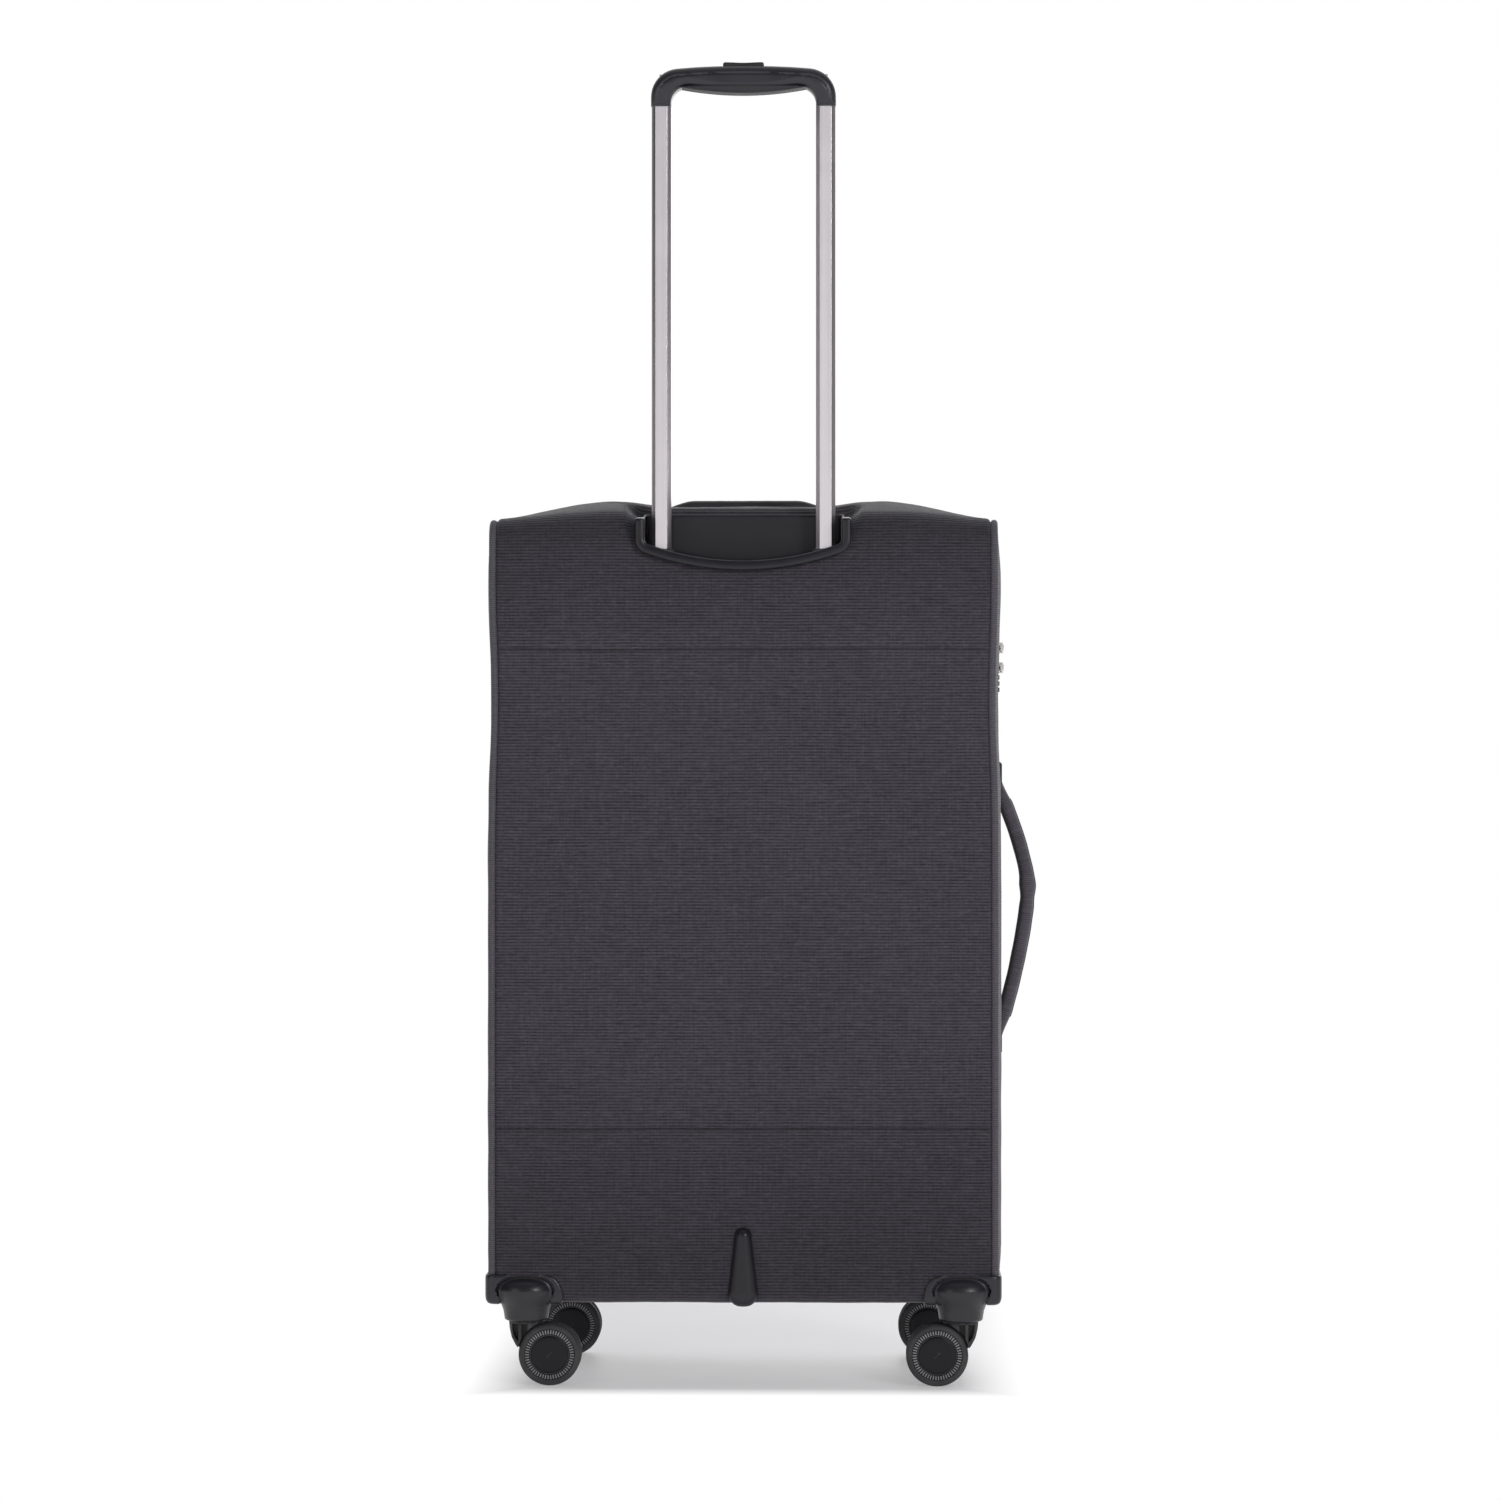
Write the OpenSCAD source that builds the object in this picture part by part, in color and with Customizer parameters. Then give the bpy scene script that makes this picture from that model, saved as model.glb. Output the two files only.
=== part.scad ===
// Softside upright suitcase: soft case with a hinged front lid, pull handle and four twin-wheel casters.
// Units are millimetres, +Z is up and z = 0 is the floor. The pull handle is on the -Y (rear) side,
// the side carry handle is on the +X side, and the lid opens on the +Y (front) side.

/* [Case] */
// Width of the fabric case
case_w = 394; // [380:1:410]
// Height of the underside of the case above the floor
case_bottom = 66; // [66:1:70]
// Height of the top of the rear panel above the floor
case_top = 669; // [660:1:690]
// Distance from the centre back to the rear panel's outer face
case_rear = 124; // [122:1:126]
// Distance from the centre forward to the lid's outer face
case_front = 116; // [112:1:120]
// Depth of the lid, from the main zip to its outer face
lid_depth = 32; // [28:1:36]
// Thickness of the padded fabric walls
wall = 5; // [4:0.5:5]
// Height of the kick lip under the lid
kick_h = 32; // [30:1:36]
// How far the front pockets stand out from the lid
pocket_depth = 13; // [8:1:16]

/* [Pull handle] */
// Distance between the centres of the two tubes
tube_spacing = 127; // [124:1:128]
// Width of an inner tube
tube_w = 15; // [13:0.5:15]
// Depth of an inner tube
tube_d = 12; // [10:0.5:12]
// Height of the top of the grip above the floor with the handle pulled out
grip_top = 1019; // [1014:1:1022]
// How far the handle slides
handle_travel = 338; // [320:1:338]
// How far the push button moves
button_travel = 3.5; // [2:0.5:3.5]

/* [Casters] */
// Distance from the centre line to the rear swivel axes
rear_caster_x = 168; // [165:1:170]
// Distance from the centre line to the front swivel axes
front_caster_x = 163; // [162:1:168]
// Distance from the centre back to the rear swivel axes
rear_caster_y = 108; // [105:1:109]
// Distance from the centre forward to the front swivel axes
front_caster_y = 100; // [97:1:101]
// Radius of a wheel
wheel_r = 24; // [22:1:24]
// Width of one wheel
wheel_w = 9; // [8:0.5:9.5]
// Distance from the swivel axis to the axle
trail = 18.5; // [17:0.5:19]

/* [Carry handles] */
// How far the side handle stands out from the case
side_handle_out = 30.5; // [26:0.5:34]
// Height of the middle of the side handle above the floor
side_handle_z = 366; // [350:1:400]
// Length of the side handle
side_handle_len = 202; // [196:1:210]
// Height of the top handle's crown above the case
top_handle_out = 17; // [15:0.5:20]
// Length of the top handle
top_handle_len = 190; // [180:1:200]

/* [Hidden] */
$fn = 64;

// Case
half_w = case_w / 2;
zip_y = case_front - lid_depth;
zip_half = 3;
zip_gap = 0.4;
lid_bottom = case_bottom + kick_h + 3;
wall_end_y = zip_y - zip_half;
corner_r = 10;
wall_mid_y = (wall_end_y - case_rear) / 2;

// Corner housings and casters
housing_t = 3;
housing_top = case_bottom + 21;
housing_low = case_bottom - 4;
housing_in = 58;
housing_len = 62;
hood_bottom = 50;
hood_low_r = 16.6;
hood_r = 18.4;
dome_r = 22.9;
dome_drop = 7.9;
fork_top = hood_bottom - 0.4;
fork_r = 13.3;
blade_t = 8;
wheel_gap = 0.5;
axle_r = 2.5;
axle_half = 12;
pin_r = 3;
pin_bottom = 41;
running = 0.05;
screw_r = 1.5;

// Pull handle
tube_y = -106;
tube_x = tube_spacing / 2;
tube_bevel = 3;
tube_wall = 1.2;
outer_wall = 1;
slide_gap = 0.3;
inner_tube_bottom = 576;
outer_tube_bottom = 226;
outer_tube_top = 634;
lock_pin_z = 590;
lock_hole_r = 3.2;
grip_half_d = 13;
grip_half_w = tube_x + tube_w / 2 + 0.5;
grip_arm_end = grip_top - 31;
beam_bottom = grip_top - 16;
link_low = grip_top - 9.5;
link_high = grip_top - 6;
button_half_w = 15.8;
button_half_d = 7;
button_top = grip_top + 3;
rod_r = 1.5;

// Dish that the grip drops into
bezel_half_w = 83.2;
bezel_proud = 8;
bezel_band = 7;
bezel_wall = 2;
bezel_top = case_top + 2;
dish_bottom = case_top - 40;
dish_back_y = -90;

// Boards and wires
board_y = -96;
board_t = 3;

// Zip sliders and lock
slider_half = 6.2;
upper_slider_z = 573;
lower_slider_z = 557;
bridge_x = half_w + 6.6;
lock_z = 565;
lock_half_h = 32;
dial_r = 5;
dial_t = 3.6;
dial_z = [539, 544, 549];
dial_x = half_w;
lock_y = 68;

// The side handle stands out on one side only, so the whole model moves over to centre its bounding box.
centre_shift = -(side_handle_out - housing_t) / 2;

sides = [-1, 1];
caster_names = ["rl", "rr", "fl", "fr"];
caster_parts = ["corner_housing", "fork", "axle", "outer_wheel", "inner_wheel"];

fabric = [0.24, 0.22, 0.25];
plastic = [0.09, 0.09, 0.1];
silver = [0.78, 0.75, 0.77];
steel = [0.6, 0.6, 0.62];
rubber = [0.13, 0.13, 0.14];

// Points of an arc from angle a0 to angle a1 about a centre.
function arc(centre, r, a0, a1, n = 6) =
    [for (i = [0 : n]) let (a = a0 + (a1 - a0) * i / n) centre + r * [cos(a), sin(a)]];

// Points of a shallow arch from -half to half that rises by rise from height z.
function arch(half, z, rise, n = 12) =
    let (r = (half * half + rise * rise) / (2 * rise), a = asin(half / r))
    arc([0, z + rise - r], r, 90 + a, 90 - a, n);

// A rectangle with rounded corners, counter-clockwise from the high corner. radii: high, left, low, right.
function rounded_rect(low, high, radii, n = 6) = concat(
    arc(high - [radii[0], radii[0]], radii[0], 0, 90, n),
    arc([low.x + radii[1], high.y - radii[1]], radii[1], 90, 180, n),
    arc(low + [radii[2], radii[2]], radii[2], 180, 270, n),
    arc([high.x - radii[3], low.y + radii[3]], radii[3], 270, 360, n));

// The same with one radius at every corner.
function even_rect(low, high, r, n = 6) = rounded_rect(low, high, [r, r, r, r], n);

// Outline of the trolley dish seen from behind: straight sides, round lower corners, shallow curved bottom.
function dish_outline(inset, top) =
    let (chord = bezel_half_w - 7.7, sagitta = 13,
         big = (chord * chord + sagitta * sagitta) / (2 * sagitta),
         centre_z = dish_bottom + big, r = big - inset, corner = 12 - inset,
         reach = bezel_half_w - inset - corner,
         corner_z = centre_z - sqrt(pow(r - corner, 2) - reach * reach),
         turn = atan2(corner_z - centre_z, reach))
    concat([[bezel_half_w - inset, top]], arc([reach, corner_z], corner, 0, turn),
           arc([0, centre_z], r, turn, -180 - turn, 20), arc([-reach, corner_z], corner, -180 - turn, -180),
           [[inset - bezel_half_w, top]]);

// A block between two corners.
module block(low, high) {
    translate(low) cube(high - low);
}

// Extrudes a profile drawn in X and Z from y0 to y1.
module along_y(y0, y1) {
    translate([0, y1, 0]) rotate([90, 0, 0]) linear_extrude(y1 - y0) children();
}

// A cylinder along X, and one along Y, between two places.
module rod_x(at, r, x0, x1) {
    translate([x0, at.x, at.y]) rotate([0, 90, 0]) cylinder(r = r, h = x1 - x0);
}

module rod_y(at, r, y0, y1) {
    translate([at.x, y0, at.y]) rotate([-90, 0, 0]) cylinder(r = r, h = y1 - y0);
}

// Mirrors a piece drawn on the +X side to the side s.
module mirrored(s) {
    mirror([s < 0 ? 1 : 0, 0, 0]) children();
}

// ---- Case walls ----

module rear_panel() {
    color(fabric) difference() {
        along_y(-case_rear, -case_rear + wall)
            polygon(even_rect([-half_w + wall, case_bottom + wall], [half_w - wall, case_top], 4));
        along_y(-case_rear - 1, -case_rear + wall + 1) polygon(dish_outline(4.8, case_top + 5));
    }
}

// Side wall at x = half_w, with a rounded rear edge.
module side_wall() {
    translate([0, 0, case_bottom + wall]) linear_extrude(case_top - case_bottom - wall - corner_r)
        polygon(concat([[half_w, wall_end_y], [half_w - wall, wall_end_y], [half_w - wall, -case_rear]],
                       arc([half_w - wall, -case_rear + wall], wall, -90, 0)));
}

module left_panel() {
    color(fabric) mirror([1, 0, 0]) side_wall();
}

module right_panel() {
    color(fabric) difference() {
        side_wall();
        lock_window(0);
    }
}

module top_panel() {
    arch_r = corner_r - wall;
    color(fabric) difference() {
        along_y(-case_rear + wall, wall_end_y) polygon(concat(
            arc([half_w - corner_r, case_top - corner_r], corner_r, 0, 90),
            arc([-half_w + corner_r, case_top - corner_r], corner_r, 90, 180),
            arc([-half_w + corner_r, case_top - corner_r], arch_r, 180, 90),
            arc([half_w - corner_r, case_top - corner_r], arch_r, 90, 0)));
        along_y(-case_rear, dish_back_y + bezel_wall + 0.2) polygon(dish_outline(4.8, case_top + 5));
    }
}

// Floor of the case, with a lip around its front end that closes the case below the lid.
module bottom_panel() {
    lip_top = case_bottom + kick_h;
    color(fabric) difference() {
        union() {
            block([-half_w, -case_rear, case_bottom], [half_w, case_front, case_bottom + wall]);
            block([-half_w, case_front - wall, case_bottom], [half_w, case_front, lip_top]);
            for (s = sides) mirrored(s)
                block([half_w - wall, wall_end_y, case_bottom], [half_w, case_front, lip_top]);
        }
        screw_places() cylinder(r = screw_r, h = 20);
    }
}

module back_board() {
    color(plastic) along_y(board_y, board_y + board_t)
        polygon(even_rect([-half_w + 14, case_bottom + 12], [half_w - 14, dish_bottom - 12], 10));
}

// Steel wire that keeps the mouth of the case in shape, just behind the main zip.
module wire_frame() {
    r = 1.6;
    inset = wall + 3.5;
    x = half_w - inset;
    low = case_bottom + inset;
    high = case_top - inset;
    y = zip_y - 5.5;
    color(steel) {
        for (s = sides) translate([s * x, y, low]) cylinder(r = r, h = high - low);
        for (z = [low, high]) rod_x([y, z], r, -x, x);
        for (s = sides, z = [low, high]) translate([s * x, y, z]) sphere(r = r);
    }
}

// Half of the main zip: along the top, down the +X side and along the bottom, from y0 to y1.
module zip_half_run(y0, y1, bottom_z) {
    tape = 3;
    along_y(y0, y1) {
        translate([-half_w + 12, case_top - tape]) square([case_w - 24, tape]);
        translate([half_w - tape, lid_bottom]) square([tape, case_top - lid_bottom - 12]);
    }
    block([-half_w + 12, case_front - 4, bottom_z], [half_w - 12, case_front - 1, bottom_z + 1.3]);
}

module case_zip() {
    color(plastic) zip_half_run(wall_end_y, zip_y - zip_gap / 2, case_bottom + kick_h);
}

// ---- Trolley ----

// Profile of a tube: a rectangle with bevelled corners, made larger all round by grow.
module tube_profile(grow) {
    x = tube_w / 2 + grow;
    y = tube_d / 2 + grow;
    b = tube_bevel + grow * 0.4;
    polygon([[x, y - b], [x - b, y], [b - x, y], [-x, y - b],
             [-x, b - y], [b - x, -y], [x - b, -y], [x, b - y]]);
}

// A length of tube profile at both tube places.
module tube_runs(grow, z0, z1) {
    for (s = sides) translate([s * tube_x, tube_y, z0]) linear_extrude(z1 - z0) tube_profile(grow);
}

module trolley_bezel() {
    lip_y = -case_rear - bezel_proud;
    collar = [11, 10];
    color(plastic) difference() {
        union() {
            along_y(lip_y, -case_rear) polygon(dish_outline(0, bezel_top));
            along_y(-case_rear, dish_back_y + bezel_wall)
                polygon(dish_outline(bezel_band - bezel_wall, bezel_top));
            for (s = sides) block([s * tube_x - collar.x, tube_y - collar.y, dish_bottom - 7],
                                  [s * tube_x + collar.x, tube_y + collar.y, dish_bottom + 20]);
        }
        along_y(lip_y - 1, dish_back_y) polygon(dish_outline(bezel_band, bezel_top + 10));
        tube_runs(slide_gap + outer_wall, outer_tube_bottom, outer_tube_top);
        tube_runs(slide_gap, outer_tube_bottom, case_top);
    }
}

module outer_tubes() {
    color(steel) difference() {
        tube_runs(slide_gap + outer_wall, outer_tube_bottom, outer_tube_top);
        tube_runs(slide_gap, outer_tube_bottom - 1, outer_tube_top + 1);
        for (s = sides, z = [lock_pin_z, lock_pin_z - handle_travel])
            mirrored(s) rod_x([tube_y, z], lock_hole_r, tube_x, tube_x + tube_w);
    }
}

module trolley_foot() {
    foot_h = 34;
    low = outer_tube_bottom - 20;
    color(plastic) difference() {
        block([-tube_x - 16, -case_rear + wall, low], [tube_x + 16, board_y, low + foot_h]);
        tube_runs(slide_gap + outer_wall, outer_tube_bottom, outer_tube_top);
        block([-tube_x + 16, -case_rear, low + 10], [tube_x - 16, board_y - 4, low + foot_h + 1]);
    }
}

module inner_tube(s) {
    color(silver) difference() {
        translate([s * tube_x, tube_y, inner_tube_bottom]) linear_extrude(grip_arm_end - inner_tube_bottom)
            difference() {
                tube_profile(0);
                tube_profile(-tube_wall);
            }
        mirrored(s) rod_x([tube_y, lock_pin_z], pin_r + running, tube_x, tube_x + tube_w);
    }
}

// Outline of the grip seen from behind: a beam with a slightly arched top and two short arms.
function grip_outline() =
    let (r = 20, top_z = grip_top - 1.5, arm_in = tube_x - tube_w / 2, inner_r = 6)
    concat([[grip_half_w, grip_arm_end]], arc([grip_half_w - r, top_z - r], r, 0, 88),
           [for (p = arch(grip_half_w - r - 2, top_z, 1.5)) [-p.x, p.y]],
           arc([r - grip_half_w, top_z - r], r, 92, 180), [[-grip_half_w, grip_arm_end]],
           [[-arm_in, grip_arm_end]], arc([inner_r - arm_in, beam_bottom - inner_r], inner_r, 180, 90, 4),
           [for (p = arch(45, -beam_bottom, 5)) [p.x, -p.y]],
           arc([arm_in - inner_r, beam_bottom - inner_r], inner_r, 90, 0, 4), [[arm_in, grip_arm_end]]);

module grip() {
    spigot = 25;
    link_half_d = 2.5;
    well = [button_half_w + slide_gap, button_half_d + slide_gap];
    color(plastic) difference() {
        union() {
            intersection() {
                along_y(tube_y - grip_half_d, tube_y + grip_half_d) polygon(grip_outline());
                translate([-100, 0, 0]) rotate([90, 0, 90]) linear_extrude(200)
                    polygon(even_rect([tube_y - grip_half_d, grip_arm_end - 30],
                                      [tube_y + grip_half_d, grip_top], 5));
            }
            tube_runs(-tube_wall, grip_arm_end - spigot, grip_arm_end + 1);
        }
        for (s = sides) translate([s * tube_x, tube_y, grip_arm_end - spigot - 1])
            cylinder(r = 3, h = link_high + 0.3 - grip_arm_end + spigot + 1);
        block([-tube_x, tube_y - link_half_d, link_low - button_travel - 0.5],
              [tube_x, tube_y + link_half_d, link_high + 0.3]);
        block([-well.x, tube_y - well.y, link_low - button_travel - 0.5],
              [well.x, tube_y + well.y, grip_top + 5]);
    }
}

module push_button() {
    color(plastic) along_y(tube_y - button_half_d, tube_y + button_half_d) polygon(
        rounded_rect([-button_half_w, link_high], [button_half_w, button_top], [1.5, 1.5, 0.5, 0.5], 4));
}

// Two rods that run down inside the tubes, joined by a flat link under the button.
module push_rods() {
    color(steel) {
        block([-tube_x - rod_r, tube_y - rod_r, link_low], [tube_x + rod_r, tube_y + rod_r, link_high]);
        for (s = sides) translate([s * tube_x, tube_y, lock_pin_z + 8])
            cylinder(r = rod_r, h = link_low - lock_pin_z - 8);
    }
}

module lock_pin(s) {
    color(steel) mirrored(s) rod_x([tube_y, lock_pin_z], pin_r, tube_x - 2, tube_x + tube_w / 2);
}

// ---- Carry handles and guards ----

module top_carry_handle() {
    half = top_handle_len / 2;
    foot = 5;
    strap = 8;
    grip_w = 32;
    color(plastic) along_y(wall_mid_y - grip_w / 2, wall_mid_y + grip_w / 2) polygon(concat(
        [[-half, case_top], [-half, case_top + foot]], arch(half - 7, case_top + foot, top_handle_out - foot),
        [[half, case_top + foot], [half, case_top]],
        [for (p = arch(half - 29, case_top, top_handle_out - strap)) [-p.x, p.y]]));
}

module side_carry_handle() {
    half = side_handle_len / 2;
    strap = 11.5;
    grip_w = 30;
    inside = arch(half - 27, 0, side_handle_out - strap);
    color(fabric) translate([half_w, 0, side_handle_z])
        along_y(wall_mid_y - grip_w / 2, wall_mid_y + grip_w / 2) rotate(-90)
            polygon(concat(arch(half, 0, side_handle_out), [for (p = inside) [-p.x, p.y]]));
}

// Plates inside the walls that the ends of both carry handles are riveted to.
module handle_anchors() {
    t = 2;
    plate = [24, 28];
    color(steel) {
        for (s = sides) {
            translate([s * (top_handle_len / 2 - 14), wall_mid_y, case_top - wall - t / 2])
                cube([plate.x, plate.y, t], center = true);
            translate([half_w - wall - t / 2, wall_mid_y, side_handle_z + s * (side_handle_len / 2 - 12)])
                cube([t, plate.y, plate.x], center = true);
        }
    }
}

// Raised guard at the middle of the rear bottom edge, which takes the knocks on steps.
module skid_guard() {
    low_r = 10.5;
    high_r = 6.5;
    color(plastic) difference() {
        hull() {
            translate([0, -case_rear - bezel_proud + low_r, case_bottom + 6]) sphere(r = low_r, $fn = 32);
            translate([0, -case_rear + 2, case_bottom + 51]) sphere(r = high_r, $fn = 32);
        }
        block([-half_w, -case_rear, case_bottom], [half_w, 0, case_top]);
    }
}

// ---- Casters ----

// Puts a corner piece, drawn for the corner towards +X and +Y, at corner i.
module at_corner(i) {
    mirror([i % 2 == 0 ? 1 : 0, 0, 0]) mirror([0, i < 2 ? 1 : 0, 0]) children();
}

function caster_at(i) = i < 2 ? [rear_caster_x, rear_caster_y] : [front_caster_x, front_caster_y];
function edge_of(i) = i < 2 ? case_rear : case_front;

// Where the screws of all four housings are, seen from above at the level of their heads.
module screw_places() {
    for (i = [0 : 3]) at_corner(i) for (p = [[-42, -53], [-8, -50], [-50, -34]])
        translate([half_w + p.x, edge_of(i) + p.y, housing_low - 2]) children();
}

module corner_housing(i) {
    edge = edge_of(i);
    at = caster_at(i);
    cover_in = half_w - housing_in;
    cover_out = half_w + housing_t;
    face_radii = [3, 16, 2, 6];
    plan_radii = [8, 4, 8, 4];
    color(plastic) difference() {
        at_corner(i) difference() {
            union() {
                intersection() {
                    along_y(edge - housing_len, edge + housing_t)
                        polygon(rounded_rect([cover_in, housing_low], [cover_out, housing_top], face_radii));
                    translate([0, 0, housing_low - 1]) linear_extrude(housing_top - housing_low + 2)
                        polygon(rounded_rect([cover_in, edge - housing_len], [cover_out, edge + housing_t],
                                             plan_radii));
                }
                intersection() {
                    translate([at.x, at.y, case_bottom - dome_drop]) sphere(r = dome_r);
                    block([0, 0, housing_low], [half_w + 20, edge + 20, housing_top]);
                }
                translate([at.x, at.y, hood_bottom])
                    cylinder(r1 = hood_low_r, r2 = hood_r, h = housing_low - hood_bottom);
            }
            block([0, 0, case_bottom], [half_w, edge, case_top]);
            translate([at.x, at.y, hood_bottom - 1]) cylinder(r = pin_r, h = housing_low - hood_bottom + 1);
        }
        screw_places() cylinder(r = screw_r, h = 20);
    }
}

module swivel_pins() {
    color(steel) for (i = [0 : 3]) at_corner(i)
        translate([caster_at(i).x, caster_at(i).y, pin_bottom + 0.3])
            cylinder(r = pin_r, h = housing_low - pin_bottom - 0.3);
}

module housing_screws() {
    head_h = 2;
    color(steel) screw_places() {
        cylinder(r = 2 * screw_r, h = head_h);
        cylinder(r = screw_r, h = head_h + case_bottom - housing_low + wall);
    }
}

// Puts a caster piece, drawn with its swivel axis on Z and its wheels trailing towards -X, at corner i.
module at_caster(i) {
    at_corner(i) translate([caster_at(i).x, caster_at(i).y, 0]) children();
}

// Side view of the fork: a round neck whose leading edge curves down and in to the axle.
function fork_outline() = concat(
    [[-fork_r, fork_top], [-fork_r - 1, fork_top - 5]], arc([-trail, wheel_r], 7, 100, 290, 12),
    [[-6, 19], [2, 25.5], [7.5, 31], [11, 37], [12.8, 43.5], [fork_r, fork_top]]);

// The fork has pockets in both sides, with ribs left between them.
module fork() {
    pocket_top = fork_top - 2;
    color(plastic) difference() {
        union() {
            intersection() {
                along_y(-fork_r, fork_r) polygon(fork_outline());
                cylinder(r = fork_r, h = fork_top);
            }
            along_y(-blade_t / 2, blade_t / 2) polygon(fork_outline());
        }
        for (y = [blade_t / 2, -20 - blade_t / 2]) rod_y([-trail, wheel_r], wheel_r + 1, y, y + 20);
        for (s = sides) mirror([0, s < 0 ? 1 : 0, 0]) {
            along_y(2.5, fork_r + 1)
                polygon([[5.5, 33.5], [8.8, 38], [10.2, 43], [10.6, pocket_top], [5.5, pocket_top]]);
            along_y(5.2, fork_r + 1)
                polygon([[-1.5, 28], [3.2, 31.5], [3.2, pocket_top], [-1.5, pocket_top]]);
        }
        translate([0, 0, pin_bottom]) cylinder(r = pin_r + running, h = 20);
        rod_y([-trail, wheel_r], axle_r, -20, 20);
    }
}

module axle() {
    color(steel) rod_y([-trail, wheel_r], axle_r, -axle_half, axle_half);
}

// One wheel: hub, tyre with rounded shoulders and a plain cap over the end of the axle.
module wheel() {
    inner = blade_t / 2 + wheel_gap;
    outer = inner + wheel_w;
    bore_end = axle_half + 0.3;
    bore_r = axle_r + running;
    shoulder = 3.2;
    color(rubber) translate([-trail, 0, wheel_r]) rotate([-90, 0, 0]) rotate_extrude()
        polygon(concat([[0, outer], [0, bore_end], [bore_r, bore_end], [bore_r, inner]],
                       arc([wheel_r - shoulder, inner + shoulder], shoulder, -90, 0),
                       arc([wheel_r - shoulder, outer - shoulder], shoulder, 0, 90)));
}

// ---- Lid ----

module lid_panel() {
    color(fabric) along_y(case_front - wall, case_front)
        polygon(rounded_rect([-half_w, lid_bottom], [half_w, case_top], [corner_r, corner_r, 6, 6]));
}

// Strip around the lid; its hinge side reaches back to the sewn edge, the other three stop at the zip tape.
module lid_gusset() {
    back = zip_y + zip_half;
    color(fabric) {
        along_y(back, case_front - wall) difference() {
            polygon(rounded_rect([-half_w, lid_bottom], [half_w, case_top], [corner_r, corner_r, 6, 6]));
            polygon(rounded_rect([-half_w + wall, lid_bottom + wall], [half_w - wall, case_top - wall],
                                 [corner_r - wall, corner_r - wall, 1, 1]));
        }
        block([-half_w, zip_y + zip_gap / 2, lid_bottom + 12], [-half_w + wall, back, case_top - 12]);
    }
}

module lid_zip() {
    color(plastic) zip_half_run(zip_y + zip_gap / 2, zip_y + zip_half, case_bottom + kick_h + 1.7);
}

// A patch pocket on the front of the lid.
module pocket(low_z, high_z) {
    color(fabric) along_y(case_front, case_front + pocket_depth)
        polygon(even_rect([-half_w + 22, low_z], [half_w - 22, high_z], 18));
}

// A slider with its pull, on the zip near the top of a pocket.
module pocket_slider(z) {
    front = case_front + pocket_depth + slide_gap;
    x = half_w - 50;
    color(silver) {
        block([x - 5, front, z - 4], [x + 5, front + 2.4, z + 4]);
        block([x - 3, front, z - 26], [x + 3, front + 1.6, z - 4]);
    }
}

// ---- Main zip sliders and lock ----

// Slider body with two posts that hold the bar of its pull tab.
module zip_slider(z) {
    post = 4.4;
    color(silver) {
        block([half_w + 0.6, zip_y - 4.5, z - slider_half], [half_w + 4, zip_y + 4.5, z + slider_half]);
        for (s = sides) block([half_w + 4, zip_y - 1.4, z + s * (post - 0.65) - 0.65],
                              [bridge_x + 1.4, zip_y + 1.4, z + s * (post - 0.65) + 0.65]);
        translate([bridge_x, zip_y, z - post]) cylinder(r = 1, h = 2 * post);
    }
}

// Pull tab that turns on the slider's bar and lies back over the lock.
module zip_pull(z) {
    half = 2.7;
    eye_r = 2.2;
    length = 24;
    color(silver) difference() {
        union() {
            translate([bridge_x, zip_y, z - half]) cylinder(r = eye_r, h = 2 * half);
            block([bridge_x - 1, zip_y - length, z - half], [bridge_x + 1, zip_y, z + half]);
        }
        translate([bridge_x, zip_y, z - half - 1]) cylinder(r = 1 + running, h = 2 * half + 2);
    }
}

// Hole in the side wall for the lock, made larger all round by grow.
module lock_window(grow) {
    block([half_w - 8, lock_y - 8 - grow, lock_z - lock_half_h + 3 - grow],
          [half_w, lock_y + 8 + grow, lock_z + lock_half_h - 3 + grow]);
}

module lock_body() {
    slot_r = dial_r + 0.4;
    color(plastic) {
        difference() {
            union() {
                block([half_w, lock_y - 11, lock_z - lock_half_h],
                      [half_w + 3, lock_y + 10, lock_z + lock_half_h]);
                lock_window(-0.1);
            }
            for (z = dial_z) block([dial_x - slot_r, lock_y - slot_r, z - dial_t / 2 - 0.3],
                                   [half_w + 10, lock_y + slot_r, z + dial_t / 2 + 0.3]);
            block([half_w - 1, lock_y - 4.3, lock_z + 17.7], [half_w + 10, lock_y + 4.3, lock_z + 27.3]);
        }
        translate([dial_x, lock_y, dial_z[0] - 3]) cylinder(r = 1, h = dial_z[2] - dial_z[0] + 6);
    }
}

module lock_dial(i) {
    color(steel) translate([dial_x, lock_y, dial_z[i] - dial_t / 2]) difference() {
        cylinder(r = dial_r, h = dial_t);
        translate([0, 0, -1]) cylinder(r = 1 + running, h = dial_t + 2);
    }
}

// Slide that frees the two pull tabs.
module lock_release() {
    color(silver) block([half_w - 0.7, lock_y - 4, lock_z + 18], [half_w + 4.5, lock_y + 4, lock_z + 24]);
}

// ---- Nodes ----

module placed() {
    translate([centre_shift, 0, 0]) children();
}

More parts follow.
